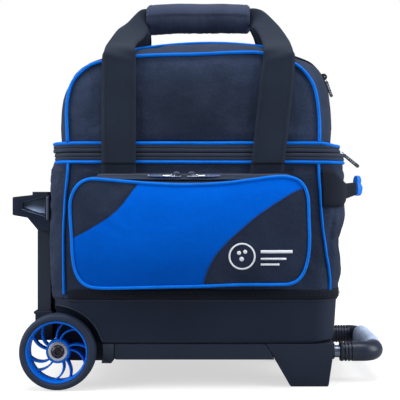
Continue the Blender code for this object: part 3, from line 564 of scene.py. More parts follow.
def ring(name, half_x, half_y, corner, z, profile, material, centre_x=4.0, lift=level,
         shift=level, **ride):
    """A profile of (out, up) carried round a rounded rectangle; lift moves it in Z, shift in X."""
    loop = resample(rounded(half_x, half_y, corner, 14, centre_x), 260, closed=True)
    shape = np.asarray(profile, float)
    verts, uv = [], []
    for (x, y), (out_x, out_y), along in zip(loop, unit(loop_outward(loop)), run_length(loop)):
        for (out, rise), around in zip(shape, run_length(shape)):
            verts.append((x + shift(x, y) + out_x * out, y + out_y * out,
                          z + lift(x, y) + rise))
            uv.append((along, around))
    faces = grid_faces(len(loop), len(shape), closed_u=True, closed_v=True)
    return finish(clean(build(name, verts, faces, material, uv=uv)), **ride)


def stitches(name, path, normal, pitch, length=2.6, radius=0.34, lift=0.15, **ride):
    """A row of raised thread stitches. normal is one vector, or one for each point."""
    path = np.asarray(path, float)
    distance = run_length(path)
    count = max(2, int(distance[-1] / pitch))
    stops = spread(path, distance, count * 2 + 1)
    normals = spread(np.broadcast_to(np.asarray(normal, float), path.shape), distance,
                     count * 2 + 1)
    # the thread's section (across, out), and its stations (share of half length, of radius)
    section = [(1, 0), (0.5, 0.87), (-0.5, 0.87), (-1, 0), (0, -0.5)]
    stations = ((-1, 0.35), (-0.7, 1.0), (0.7, 1.0), (1, 0.35))
    verts, faces = [], []
    for k in range(count):
        tangent = stops[2 * k + 2] - stops[2 * k]
        if np.linalg.norm(tangent) < 1e-6:
            continue
        tangent = unit(tangent)
        out = unit(normals[2 * k + 1])
        out = unit(out - tangent * (out @ tangent))
        side_way = np.cross(tangent, out)
        base = len(verts)
        for along, swell in stations:
            for across, rise in section:
                verts.append(stops[2 * k + 1] + tangent * (along * length / 2)
                             + side_way * (across * radius * swell)
                             + out * (rise * radius * swell + lift))
        faces += [tuple(base + i for i in face)
                  for face in capped_faces(len(stations), len(section))]
    finish(clean(build(name, verts, faces, THREAD)), **ride)


def merge(name, parts):
    """Joins mesh objects into the first of them."""
    keep = parts[0]
    bm = bmesh.new()
    materials = []
    for part in parts:
        for material in part.data.materials:
            if material not in materials:
                materials.append(material)
    for part in parts:
        slots = [materials.index(m) for m in part.data.materials]
        start = len(bm.faces)
        bm.from_mesh(part.data)
        bm.faces.ensure_lookup_table()
        for face in bm.faces[start:]:
            face.material_index = slots[face.material_index]
    mesh = bpy.data.meshes.new(name)
    bm.to_mesh(mesh)
    bm.free()
    for material in materials:
        mesh.materials.append(material)
    for part in parts[1:]:
        bpy.data.objects.remove(part, do_unlink=True)
    keep.data = mesh
    keep.name = name
    return keep


def ribbon(name, left, right, thick, material, count, up=(0, -1, 0), points=9, **ride):
    """A web between two edge curves, with this many points across each face."""
    left, right = spline(left, count), spline(right, count)
    middle, half = (left + right) / 2, (right - left) / 2
    normals = unit(np.cross(np.gradient(middle, axis=0), half))
    if (normals @ np.array(up, float)).sum() < 0:
        normals = -normals
    across = np.linspace(-1, 1, points)
    verts, uv = [], []
    for centre, edge, normal, along in zip(middle, half, normals, run_length(middle)):
        width = np.linalg.norm(edge)
        for side, row in ((1, across), (-1, across[::-1])):
            for share in row:
                rise = side * thick / 2 * (1 - 0.35 * abs(share) ** 6)
                verts.append(centre + edge * share + normal * rise)
                uv.append((share * width, along))
    finish(clean(build(name, verts, capped_faces(count, 2 * points), material, uv=uv)), **ride)


# ================================================================ slack cloth
CLOTH = dict(quality=5, mass=0.25, tension_stiffness=18.0, compression_stiffness=18.0,
             shear_stiffness=6.0, bending_stiffness=1.5, tension_damping=8.0,
             compression_damping=8.0, shear_damping=8.0, bending_damping=1.0, air_damping=2.0,
             vertex_group_mass="seam", pin_stiffness=1.0, use_pressure=True,
             uniform_pressure_force=1.2, shrink_min=-0.02)
CLOTH_FRAMES = 10
CLOTH_LIMIT = 2.2       # furthest the cloth may move
CLOTH_INWARD = 0.35     # share of inward movement that is kept


def edge_pins(rows, columns):
    """Pin weights for a grid: 1 along its seams, fading over four rows."""
    from_end = [np.minimum(np.arange(n), np.arange(n)[::-1]) for n in (rows, columns)]
    return np.clip(1 - np.minimum.outer(*from_end) / 4, 0, 1).ravel()


def swell(ob, pins):
    """Lets a panel held along its seams swell and crease like padded cloth."""
    rest = np.array([v.co for v in ob.data.vertices], float)
    normals = np.array([v.normal for v in ob.data.vertices], float)
    group = ob.vertex_groups.new(name="seam")
    for k, weight in enumerate(pins):
        if weight > 0:
            group.add([k], float(weight), "REPLACE")
    modifier = ob.modifiers.new("cloth", "CLOTH")
    for key, value in CLOTH.items():
        setattr(modifier.settings, key, value)
    modifier.settings.effector_weights.gravity = 0.0
    modifier.collision_settings.use_collision = False
    modifier.collision_settings.use_self_collision = False
    cache, scene = modifier.point_cache, bpy.context.scene
    for holder in (cache, scene):
        holder.frame_start, holder.frame_end = 1, CLOTH_FRAMES
    for step in range(1, CLOTH_FRAMES + 1):
        scene.frame_set(step)
    settled = ob.evaluated_get(bpy.context.evaluated_depsgraph_get())
    moved = np.array([v.co for v in settled.data.vertices], float)
    ob.modifiers.clear()
    ob.vertex_groups.clear()
    scene.frame_set(1)
    if not np.isfinite(moved).all():
        return
    move = moved - rest
    size = np.linalg.norm(move, axis=1, keepdims=True)
    limit = CLOTH_LIMIT * MM
    move *= np.where(size > 1e-9, limit * np.tanh(size / limit) / np.maximum(size, 1e-9), 1.0)
    outward = (move * normals).sum(1, keepdims=True)
    move = np.where(outward < 0, move * CLOTH_INWARD, move)
    move *= 1 - pins[:, None]
    ob.data.vertices.foreach_set("co", (rest + move).astype(np.float32).ravel())
    ob.data.update()


# ================================================================ hard parts taken from the CAD
def polish(node, material, width, segments=2):
    """Rounds the edges of a hard CAD node and gives it its material."""
    ob = NODES[node]
    ob.data.materials.clear()
    ob.data.materials.append(material)
    for face in ob.data.polygons:
        face.material_index = 0
    ob.modifiers.new("weld", "WELD").merge_threshold = 0.00001
    bevel = ob.modifiers.new("round", "BEVEL")
    bevel.width, bevel.segments = width * MM, segments
    bevel.limit_method, bevel.angle_limit = "ANGLE", math.radians(32)
    bevel.use_clamp_overlap = True
    bevel.harden_normals = False
    ob.data.shade_smooth()
    ob.modifiers.new("normals", "WEIGHTED_NORMAL").keep_sharp = True


polish("base_tub", PLASTIC, width=0.8)
for node in ("wheel_chassis", "base_skid", "front_foot_near", "front_foot_far"):
    polish(node, PLASTIC, width=1.1)
for node in ("handle_top_bracket", "handle_foot_bracket"):
    polish(node, PLASTIC, width=1.2)
for _, side in SIDES:
    polish(f"handle_column_{side}", TUBE, width=1.6, segments=3)
polish("pull_grip", TUBE, width=3.4, segments=4)
for k in range(4):
    for _, side in SIDES:
        polish(f"handle_tube_{k + 1}_{side}", ALUMINIUM, width=0.8)
polish("release_button", BLUE_GRIP, width=0.8)
polish("ball_cup_foam", FOAM, width=2.0, segments=3)

# ---------------------------------------------------------------- bracket scoops and ribs
# the finger scoops in the trolley's top bracket, and the rounded rib beside each; the scoops carry a
# painted highlight on the lower lip and painted shade inside, the rib a painted highlight
SCOOP_LEFT, SCOOP_LONG, SCOOP_DEEP = -235.2, 31.9, 5.6
SCOOP_DEPTH = ([0, 0.12, 0.45, 0.72, 0.9, 1], [0, 0.34, 1, 1, 0.5, 0])   # height share, depth
OUTER_ENDS, INNER_ENDS = [-235, -203.5], [-230, -205]    # X where the heights below are given


def scoop_point(side, along, rise):
    """A point of a scoop, at shares of its length and height."""
    x = SCOOP_LEFT + SCOOP_LONG * along
    ease = math.sin(math.pi / 2 * clamp((x - SCOOP_LEFT) / 9.0)) * clamp((-203.3 - x) / 1.6)
    low = np.interp(x, OUTER_ENDS, [240.4, 230.4])
    high = np.interp(x, OUTER_ENDS, [249.6, 257.3])
    low_in = low + (np.interp(x, INNER_ENDS, [246.0, 242.4]) - low) * ease
    high_in = high + (np.interp(x, INNER_ENDS, [247.8, 254.4]) - high) * ease
    deep = SCOOP_DEEP * np.interp(rise, *SCOOP_DEPTH)
    z = np.interp(rise, [0, 0.45, 0.72, 1], [low, low_in, high_in, high])
    return x, side * (100.15 - deep * ease), z


for s, side in SIDES:
    grid = [[scoop_point(s, k / 30, j / 24) for k in range(31)] for j in range(25)]
    ob = sheet(f"bracket_scoop_{side}", grid, SCOOP_PAINTED_LIGHT, flip=s > 0,
               uv=[(k / 30, j / 24) for j in range(25) for k in range(31)])
    finish(ob, "black_plastic", thick=0.5)
    path = [(-200.2, s * 99.2, z) for z in np.linspace(226.0, 257.6, 16)]
    finish(sweep(f"bracket_rib_{side}", path, 2.0, RIB_PAINTED_HIGHLIGHT, sides=14, up=(1, 0, 0)), "black_plastic")

# ---------------------------------------------------------------- lips on the moulded base
TUB_HALF_X, TUB_CORNER = 193.0, 34.0
TUB_WALL = ([61, 65, 74, 121], [110, 114.5, 116.5, 118.0])    # Z, half depth of the long walls
WHEEL_X, WHEEL_Y, WHEEL_RADIUS = -183.0, 113.0, 51.0
ARCH_RADIUS = 60.6
ARCH_LIP = [(0.9, -0.6), (0.9, 0.6), (0.4, 1.0), (-0.8, 1.0), (-0.8, -1.0), (0.4, -1.0)]

for s, side in SIDES:
    path = []
    for k in range(61):
        angle = math.radians(14 + 142 * k / 60)
        x = WHEEL_X + ARCH_RADIUS * math.cos(angle)
        z = WHEEL_RADIUS + ARCH_RADIUS * math.sin(angle)
        over = max(0.0, abs(x) - (TUB_HALF_X - TUB_CORNER))
        y = (np.interp(z, *TUB_WALL) - TUB_CORNER
             + math.sqrt(max(0.0, TUB_CORNER ** 2 - over ** 2)))
        if z > 61.4 and abs(x) < 189:
            path.append((x, s * (y + 0.1), z))
    finish(sweep(f"arch_lip_{side}", path, 1.15, PLASTIC, up=(0, s, 0), profile=ARCH_LIP))

ring("base_rim_lip", TUB_HALF_X, 118.0, TUB_CORNER, 119.4,
     [(-0.6, -1.4), (0.9, -1.0), (1.25, 0.0), (0.9, 1.2), (-0.6, 1.6)], PLASTIC, centre_x=0.0)

# ================================================================ wheels
# Closed or mirrored profiles of (radius, distance outward from the wheel's middle plane).
TREAD_HALF = [(41.5, 9.6), (41.9, 11.0), (43.6, 11.9), (46.4, 12.0), (48.6, 11.3), (49.9, 9.7),
              (50.6, 7.0), (50.92, 3.5), (WHEEL_RADIUS, 0.0)]
TREAD = TREAD_HALF + [(r, -h) for r, h in TREAD_HALF[-2::-1]]
RIM_RING = [(38.7, 8.6), (38.9, 10.7), (39.4, 11.2), (40.9, 11.2), (41.35, 10.7), (41.4, -11.0),
            (38.7, -11.0), (38.4, -9.0), (37.6, 2.0)]
RIM_HUB = [(13.1, 2.9), (13.5, 3.5), (15.2, 3.6), (15.8, 3.1), (16.3, 0.0), (16.9, -5.0),
           (15.8, -11.5), (13.1, -11.5)]
BEARING = [(4.4, 2.8), (9.0, 2.9), (9.3, 3.3), (12.3, 3.3), (12.9, 2.9), (12.9, -11.9),
           (4.4, -11.9)]
BOLT_HEAD = [(0.0, 7.8), (2.6, 7.75), (5.2, 7.3), (7.3, 6.3), (8.5, 4.8), (8.8, 3.5), (4.2, 3.5),
             (4.2, -20.0), (0.0, -20.0)]
SPOKE_IN, SPOKE_OUT = 15.4, 39.2      # radii where a spoke starts and ends
SPOKE_THICK = 1.15                    # half thickness of a spoke
# a spoke's section: (along the axle, share of the half thickness)
SPOKE = [(y, SPOKE_THICK * share) for y, share in (
    (-5.6, -1), (-5.6, 1), (0, 1.1), (4.9, 1), (5.6, 0.55), (5.6, -0.55), (4.9, -1), (0, -1.1))]


def turned(name, profile, side, material, steps, autosmooth=50):
    """A profile turned about the axle of the wheel on one side."""
    verts, uv = [], []
    for k in range(steps):
        angle = TAU * k / steps
        for radius, out in profile:
            verts.append((WHEEL_X + radius * math.cos(angle), side * (WHEEL_Y + out),
                          WHEEL_RADIUS + radius * math.sin(angle)))
            uv.append((angle * 40, side * out + radius))
    faces = grid_faces(steps, len(profile), closed_u=True, closed_v=True)
    return clean(build(name, verts, faces, material, uv=uv, autosmooth=autosmooth), weld=True)


def spoke(side, root, sweep_by):
    """A curved spoke: root is its angle at the hub, sweep_by how far it turns."""
    path = []
    for k in range(15):
        radius = SPOKE_IN + (SPOKE_OUT - SPOKE_IN) * k / 14
        angle = math.radians(root + sweep_by * (k / 14) ** 1.5)
        path.append((WHEEL_X + radius * math.cos(angle), side * (WHEEL_Y - 3.0),
                     WHEEL_RADIUS + radius * math.sin(angle)))
    return sweep("spoke", path, 1.0, RIM, profile=SPOKE, up=(0, side, 0))


def cut_hexagon(head, side):
    """Cuts the hexagonal socket into a bolt head."""
    corners = [math.radians(60 * k + 30) for k in range(6)]
    verts = [(WHEEL_X + 3.4 * math.cos(a), side * (WHEEL_Y + out),
              WHEEL_RADIUS + 3.4 * math.sin(a)) for out in (5.2, 12) for a in corners]
    faces = [tuple(range(6))[::-1], tuple(range(6, 12))]
    faces += [(k, (k + 1) % 6, 6 + (k + 1) % 6, 6 + k) for k in range(6)]
    cutter = clean(build("hex_tool", verts, faces, BOLT))
    cut = head.modifiers.new("cut", "BOOLEAN")
    cut.operation, cut.solver, cut.object = "DIFFERENCE", "EXACT", cutter
    bpy.context.view_layer.update()
    graph = bpy.context.evaluated_depsgraph_get()
    made = bpy.data.meshes.new_from_object(head.evaluated_get(graph))
    head.modifiers.clear()
    head.data = made
    bpy.data.objects.remove(cutter, do_unlink=True)
    head.data.set_sharp_from_angle(angle=math.radians(40))


for s, side in SIDES:
    wheel = f"wheel_{side}"
    finish(turned(f"tyre_{side}", TREAD, s, TYRE, steps=128, autosmooth=60), "tyre_rubber",
           wheel + "_tyre", body=wheel)
    parts = [turned("rim_ring", RIM_RING, s, RIM, steps=128),
             turned("rim_hub", RIM_HUB, s, RIM, steps=96)]
    for k in range(5):
        middle = 88.0 + 72.0 * k
        parts += [spoke(s, middle + 9.5, -20.0), spoke(s, middle - 9.5, -31.0)]
    rim = merge(f"rim_{side}", parts)
    rim.data.set_sharp_from_angle(angle=math.radians(50))
    finish(rim, "blue_rim_plastic", wheel + "_rim", body=wheel)
    finish(turned(f"bearing_{side}", BEARING, s, STEEL, steps=72), "bearing_steel",
           wheel + "_bearing", body=wheel)
    head = turned(f"bolt_{side}", BOLT_HEAD, s, BOLT, steps=64)
    cut_hexagon(head, s)
    finish(head, "black_bolt", f"axle_bolt_{side}")

# ================================================================ fabric body
BODY_X, BODY_HALF_Y, BODY_CORNER = 4.0, 119.2, 32.0
BODY_FOOT, BODY_TOP = 121.4, 302.4
BODY_ROWS = 60
# Z, then X of the piping down the left and the right corners
LEFT = ([121, 129.5, 153.4, 186.6, 219.8, 253.0, 279.6, 299.5, 304],
        [-173.6, -173.9, -174.5, -174.9, -174.2, -172.5, -169.9, -168.5, -168.3])
RIGHT = ([121, 133.5, 146.8, 186.6, 215.8, 253.0, 299.5, 304],
         [179.2, 180.1, 180.2, 174.1, 169.6, 166.8, 164.2, 164.0])
# Z, then the distance of the end wall from BODY_X, at each end
LEFT_END = ([121, 136, 165, 215, 270, 290, 304],
            [199.4, 200.5, 201.1, 201.1, 201.1, 200.0, 197.8])
RIGHT_END = ([121, 127, 135, 143, 151, 160, 176, 192, 200, 209, 217, 225, 234, 242, 262, 284,
              294, 304],
             [187.9, 188.2, 188.0, 189.2, 192.0, 192.6, 191.8, 190.2, 189.4, 192.2, 195.4, 197.4,
              197.6, 197.0, 196.2, 196.6, 197.2, 196.4])
# Z, then X of the drape fold at the front right corner; and Z, then its strength
DRAPE_X = ([130, 165, 200, 245], [182.0, 184.6, 183.6, 190.0])
DRAPE = ([128, 145, 225, 250], [0, 1, 1, 0])


def half_x(z, side):
    return np.interp(z, *(LEFT_END if side < 0 else RIGHT_END))


def wall(x, z):
    """Distance of the front or rear face of the body from mid depth."""
    flat = half_x(z, -1 if x < BODY_X else 1) - BODY_CORNER
    over = min(max(0.0, abs(x - BODY_X) - flat), BODY_CORNER)
    return BODY_HALF_Y - BODY_CORNER + math.sqrt(max(0.0, BODY_CORNER ** 2 - over ** 2))


def folds(x, y, z, seed):
    """Small outward movement of slack cloth: drags under the band, softer dents lower down."""
    near_band = math.exp(-((z - 292) / 13.0) ** 2)
    near_base = math.exp(-((z - 134) / 9.0) ** 2)
    drag = ripple(x * 0.35 + y * 0.35, z * 1.5, seed, size=15.0, seed=3.1 + seed)
    dent = ripple(x * 0.8, z * 1.9 + 0.5 * x, y, size=24.0, seed=7.7 + seed)
    broad = ripple(x, y, z * 0.6, size=46.0, seed=1.3 + seed)
    fine = ripple(x * 1.4 + 0.9 * z, y, z * 2.2, size=11.0, seed=9.3 + seed)
    return (2.1 * near_band * drag + 1.0 * near_band * fine + 0.9 * dent + 1.3 * broad
            + 0.9 * near_base * drag)


def seam_fade(share):
    """0 at both ends of 0..1, rising to 1 a little way in."""
    return min(1.0, min(share, 1 - share) / 0.06) ** 0.8


def panel_row(z, side, count=90):
    """One row of the front (-1) or rear (1) panel, between the corner pipings."""
    left, right = np.interp(z, *LEFT), np.interp(z, *RIGHT)
    rise = (z - BODY_FOOT) / (BODY_TOP - BODY_FOOT)
    row = []
    for k in range(count):
        share = k / (count - 1)
        x = left + (right - left) * share
        fade = seam_fade(share) * min(1.0, rise / 0.03, (1 - rise) / 0.02)
        out = fade * (0.6 + 0.9 * folds(x, side * 100, z, 5.0 * side))
        row.append((x, side * (wall(x, z) + out), z))
    return row


def side_row(z, side, count=84):
    """From the front corner piping round to the rear one, on the left (-1) or right (1)."""
    piping = abs(np.interp(z, *(LEFT if side < 0 else RIGHT)) - BODY_X)
    half = half_x(z, side)
    flat, side_y = half - BODY_CORNER, BODY_HALF_Y - BODY_CORNER
    start = math.asin(np.clip((piping - flat) / BODY_CORNER, 0, 1))
    front = []      # x, y and the outward direction of each point
    if piping < flat:
        front += [(piping + (flat - piping) * k / 5, -BODY_HALF_Y, 0.0, -1.0) for k in range(5)]
    for k in range(17):
        angle = start + (math.pi / 2 - start) * k / 16
        sine, cosine = math.sin(angle), math.cos(angle)
        front.append((flat + BODY_CORNER * sine, -(side_y + BODY_CORNER * cosine), sine, -cosine))
    end = [(half, -side_y + 2 * side_y * k / 44, 1.0, 0.0) for k in range(1, 44)]
    pts = np.array(front + end + [(x, -y, out_x, -out_y) for x, y, out_x, out_y in front[::-1]])
    rise = (z - BODY_FOOT) / (BODY_TOP - BODY_FOOT)
    row = []
    for k, (x, y, out_x, out_y) in enumerate(spread(pts, run_length(pts[:, :2]), count)):
        x = BODY_X + side * x
        fade = seam_fade(k / (count - 1)) * min(1.0, rise / 0.04, (1 - rise) / 0.03)
        out = fade * (0.5 + 0.95 * folds(x, y, z, 2.0 + side))
        if side > 0 and y < 0:      # one long drape fold down the front right corner
            from_fold = x - np.interp(z, *DRAPE_X)
            strength = fade * np.interp(z, *DRAPE)
            out += 1.5 * math.exp(-(from_fold / 2.6) ** 2) * strength
            out -= 1.1 * math.exp(-((from_fold + 5.2) / 2.4) ** 2) * strength
        row.append((x + side * out_x * out, y + out_y * out, z))
    return row


body_heights = [BODY_FOOT + (BODY_TOP - BODY_FOOT) * j / (BODY_ROWS - 1)
                for j in range(BODY_ROWS)]
for s, side in ((-1, "front"), (1, "rear")):
    grid = [panel_row(z, s) for z in body_heights]
    ob = sheet(f"main_{side}_cloth", grid, [BLACK, LINING], flip=s > 0,
               uv=[(p[0], p[2]) for row in grid for p in row])
    finish(ob, "black_polyester", f"body_{side}_panel", thick=3.0, lined=True)

for s, side in ((-1, "left"), (1, "right")):
    grid = [side_row(z, s) for z in body_heights]
    ob = sheet(f"side_{side}_cloth", grid, [BLACK, LINING], flip=s < 0)
    swell(ob, edge_pins(BODY_ROWS, len(grid[0])))
    finish(ob, "black_polyester", f"body_side_{side}", thick=2.6, lined=True)

# piping down the four corners
for s, side in ((-1, "front"), (1, "rear")):
    for table, which, foot in ((LEFT, "left", 127.6), (RIGHT, "right", 132.6)):
        path = []
        for k in range(40):
            z = foot + (BODY_TOP - foot - 0.5) * k / 39
            x = np.interp(z, *table)
            path.append((x + 0.5 * ripple(x, 0, z, size=22.0, seed=4.4),
                         s * (wall(x, z) + 1.3), z))
        finish(sweep(f"corner_piping_{side}_{which}", spline(path, 70), 1.9, PIPING))

# binding over the seam between cloth and base, and its stitches; the binding's cloth is darkened as
# painted shade
BINDING_X = 2.0
ring("base_binding", 192.6, 119.6, 33.2, 128.0,
     [(-1.6, -6.8), (0.5, -6.6), (1.1, -5.6), (1.35, -1.0), (1.15, -0.4), (1.3, 0.4), (1.2, 4.6),
      (0.6, 6.0), (-1.6, 6.6)], BINDING_PAINTED_SHADE, centre_x=BINDING_X,
     lift=lambda x, y: 0.35 * ripple(x, y, 0, size=26.0, seed=8.8))
loop = resample(rounded(195.0, 121.0, 34.4, 14, BINDING_X), 300, closed=True)
stitches("binding_stitch_126", [(x, y, 126.9) for x, y in loop],
         np.column_stack([loop_outward(loop), np.zeros(len(loop))]),
         pitch=6.0, length=3.6, radius=0.5)

# ================================================================ band: main zip and its pipings
ZIP_Z = 316.0           # height of the main zip's coil
TAPE_GAP, CORD_GAP = 5.4, 12.6      # from the coil to each tape and each piping
BAND = (198.4, 121.6, 36.0)         # half length, half depth and corner of the tapes
CORD_LOOP = (197.4, 120.8, 34.8)
LOWER_TAPE = [(-2.6, -6.4), (-0.9, -6.4), (0.0, -4.8), (0.55, -4.2), (0.7, -1.9), (0.55, -1.1),
              (-0.35, -0.8), (-0.35, -0.1), (0.75, 0.3), (1.05, 1.6), (0.95, 3.6), (0.4, 4.75),
              (-2.6, 4.75)]
UPPER_TAPE = [(out, -rise) for out, rise in LOWER_TAPE[::-1]]
BAND_CORD = [(0.4 + out, rise) for out, rise in circle(2.15, 12)]


def upper_lift(x, y):
    """The upper piping is pulled down round the right end."""
    return -3.0 * clamp((x - 162) / 30.0) ** 2 + 0.35 * ripple(x, y, 0, size=40.0, seed=2.0)


def lower_lift(x, y):
    return 0.5 * ripple(x, y, 0, size=34.0, seed=6.0)


def upper_tuck(x, y):
    """The lid's seam sits a little inside the band at both ends, most at the right."""
    return (-6.2 * smoothstep(clamp((x - 150.0) / 50.0))
            + 0.8 * clamp((-160.0 - x) / 40.0) ** 2)


def lower_tuck(x, y):
    return 2.8 * clamp((-160.0 - x) / 36.0) ** 2


ring("main_tape_lower_cloth", *BAND, ZIP_Z - TAPE_GAP, LOWER_TAPE, TAPE, lift=lower_lift,
     shift=lower_tuck, slot="zip_tape", replaces="main_zip_lower_tape")
ring("main_tape_upper_cloth", *BAND, ZIP_Z + TAPE_GAP, UPPER_TAPE, TAPE, lift=lower_lift,
     shift=lambda x, y: 0.95 * upper_tuck(x, y), body="lid", slot="zip_tape",
     replaces="main_zip_upper_tape")
# the coil uses the binding's darkened cloth, painted shade in the gap between the tapes
ring("main_zip_coil", 196.6, 120.8, 34.6, ZIP_Z,
     [(-3.0, -2.4), (-0.4, -2.4), (-0.2, -0.2), (-0.2, 0.2), (-0.4, 2.4), (-3.0, 2.4)], BINDING_PAINTED_SHADE,
     lift=lower_lift, shift=lambda x, y: 0.5 * upper_tuck(x, y) + 0.3 * lower_tuck(x, y))
ring("band_piping_lower_cord", *CORD_LOOP, ZIP_Z - CORD_GAP, BAND_CORD, PIPING,
     lift=lower_lift, shift=lower_tuck, slot="blue_piping", replaces="band_piping_lower")
ring("band_piping_upper_cord", *CORD_LOOP, ZIP_Z + CORD_GAP, BAND_CORD, PIPING,
     lift=upper_lift, shift=upper_tuck, body="lid", slot="blue_piping",
     replaces="band_piping_upper")


def board(name, half_long, half_deep, corner, steps, centre_x, profile, replaces=None):
    """A rounded board. profile is (inset, Z) from the underside to the top."""
    outline = resample(rounded(half_long, half_deep, corner, steps, centre_x), 160, closed=True)
    rings = [[((x - centre_x) * (1 - inset / half_long) + centre_x,
               y * (1 - inset / half_deep), z) for x, y in outline] for inset, z in profile]
    finish(solid_tube(name, rings, LINING, uv=grid_uv(rings), autosmooth=40),
           "black_polyester", replaces, body="lid")


# the shoe compartment's floor board, and the step below it inside the band
board("lid_floor_board", 188.6, 117.2, 45.0, 16, 0.6,
      ((4.0, 325.6), (0.8, 325.9), (0.0, 327.0), (0.0, 329.4), (0.8, 330.6), (4.0, 331.0)),
      replaces="lid_base_panel")
board("lid_floor_edge", 191.4, 118.7, 34.0, 14, 1.6,
      ((9.0, 322.0), (0.6, 322.0), (0.0, 322.5), (0.0, 325.0), (0.6, 325.5), (9.0, 325.5)))

# ================================================================ lid: the shoe compartment
DOME_X, DOME_FOOT, DOME_END_Y = -1.5, 330.0, 118.6
OUTLINE_POINTS = 120
# (X, Z) of the sewn edge of the front and rear panels, from the left foot over the top
END_OUTLINE = spline(
    [(-169.0, 330), (-170.0, 350), (-170.3, 372.4), (-168.3, 392.3), (-164.4, 405.6),
     (-157.7, 416.0), (-147.1, 426.6), (-136.5, 433.0), (-123.2, 437.0), (-100, 440.6),
     (-76.8, 444.0), (-35, 445.9), (6.8, 446.7), (59.9, 449.1), (89.1, 448.1), (117, 441.4),
     (134.2, 432.8), (143.5, 425.5), (151.5, 416.2), (158.1, 404.3), (162.1, 389.7),
     (164.1, 372.4), (165.4, 352.5), (165.4, 330)], OUTLINE_POINTS)


def dome(y):
    """Half length, top, left and right corner radii, and left and right fall of the top."""
    full = 1.0 - min(1.0, abs(y) / 118.0) ** 1.8
    return (168.5 + 27.5 * full, 447 + 34 * full, 48 + 47 * full, 48 + 36 * full,
            3.0 + 9 * full, 3.0 + 5 * full)


def arch(y):
    """The dome's full arch at depth y."""
    half, top, round_l, round_r, fall_l, fall_r = dome(y)
    left, right = -(half - round_l), half - round_r
    pts = [(-half, DOME_FOOT + rise) for rise in (0, 12, 24)]
    for k in range(13):
        angle = math.radians(180 - 90 * k / 12)
        pts.append((left + round_l * math.cos(angle),
                    top - fall_l - round_l + round_l * math.sin(angle)))
    for k in range(1, 12):
        u = k / 12      # the top is highest at 0.58 of its length
        fall = fall_l * ((0.58 - u) / 0.58) ** 2 if u < 0.58 else fall_r * ((u - 0.58) / 0.42) ** 2
        pts.append((left + (right - left) * u, top - fall))
    for k in range(13):
        angle = math.radians(90 - 90 * k / 12)
        pts.append((right + round_r * math.cos(angle),
                    top - fall_r - round_r + round_r * math.sin(angle)))
    pts += [(half, DOME_FOOT + rise) for rise in (26, 12, 0)]
    return resample([(DOME_X + x, z) for x, z in pts], OUTLINE_POINTS)


def section(y):
    """The dome's outline at depth y: the sewn edge at the ends, the full arch between."""
    share = smoothstep(clamp((abs(y) - 66.0) / 53.0))
    return arch(y) * (1 - share) + END_OUTLINE * share


# (X, Z) limit of the dome in the plane y = 0, as seen from the camera
LIMIT = np.array([
    (-203.0, 336.0), (-203.2, 370.0), (-202.4, 386.0), (-200.0, 402.0), (-196.0, 414.0),
    (-191.0, 423.5), (-183.2, 439.0), (-172.0, 449.4), (-159.4, 456.4), (-145.6, 461.4),
    (-128.0, 466.0), (-100.0, 472.0), (-60.0, 478.0), (0.0, 483.5), (40.0, 484.5),
    (95.0, 478.6), (124.0, 471.6), (149.5, 464.0), (163.0, 458.8), (175.0, 451.8),
    (186.0, 438.4), (189.4, 428.0), (192.0, 418.0), (194.6, 398.0), (196.6, 378.0),
    (197.4, 360.0), (197.4, 336.0)])
LIMIT_Z = 370.0         # height of the centre the limit is measured round
LIMIT_ANGLES = (np.unwrap(np.arctan2(LIMIT[:, 1] - LIMIT_Z, LIMIT[:, 0])) + TAU)[::-1]
LIMIT_RADII = np.hypot(LIMIT[:, 1] - LIMIT_Z, LIMIT[:, 0])[::-1]


def held(x, y, z, slack=0.0):
    """Draws a point of the dome in so that, from the camera, it stays within the limit."""
    eye_x, eye_y, eye_z = EYE
    scale = -eye_y / (y - eye_y)
    seen_x, seen_z = eye_x + (x - eye_x) * scale, eye_z + (z - eye_z) * scale
    angle = math.atan2(seen_z - LIMIT_Z, seen_x)
    if angle < -math.pi / 2:
        angle += TAU
    limit = np.interp(angle, LIMIT_ANGLES, LIMIT_RADII) + slack
    radius = math.hypot(seen_x, seen_z - LIMIT_Z)
    if radius <= limit:
        return x, z
    draw = limit / radius
    seen_x, seen_z = seen_x * draw, LIMIT_Z + (seen_z - LIMIT_Z) * draw
    return eye_x + (seen_x - eye_x) / scale, eye_z + (seen_z - eye_z) / scale


def dome_fold(x, y, z):
    return (0.9 * ripple(x * 0.6, y * 0.6, z, size=34.0, seed=2.2)
            + 0.7 * ripple(x, y * 1.6, z * 0.5, size=18.0, seed=8.1)
            + 1.3 * ripple(x * 0.4, y, z * 0.4, size=60.0, seed=5.6))


def distances(points, x, z):
    return np.hypot(points[:, 0] - x, points[:, 1] - z)


def end_panel(side, rows=34, foot=330.6, puff=2.0):
    """The flat end panel below the sewn edge, slightly domed by what is inside."""
    seed = 10.0 * side
    left, right = END_OUTLINE[0, 0], END_OUTLINE[-1, 0]
    grid = []
    for j in range(rows):
        row = []
        for k, (edge_x, edge_z) in enumerate(END_OUTLINE):
            base_x = left + (right - left) * k / (OUTLINE_POINTS - 1)
            x = base_x + (edge_x - base_x) * j / (rows - 1)
            z = foot + (edge_z - foot) * j / (rows - 1)
            fade = (min(1.0, distances(END_OUTLINE, x, z).min() / 16.0)
                    * min(1.0, (z - foot) / 10.0))
            belly = (4.2 * math.exp(-(((x - 4) / 42.0) ** 2))
                     * max(0.0, 1 - ((z - 392) / 60.0) ** 2))
            out = fade * (puff + belly
                          + 1.1 * ripple(x, seed, z * 1.2, size=38.0, seed=3.3 + seed)
                          + 0.8 * ripple(x * 1.5, seed, z * 0.5, size=17.0, seed=1.1 + seed)
                          + 0.35 * ripple(x, seed, z, size=9.0, seed=6.1 + seed))
            row.append((x, side * (DOME_END_Y + out), z))
        grid.append(row)
    return np.array(grid)


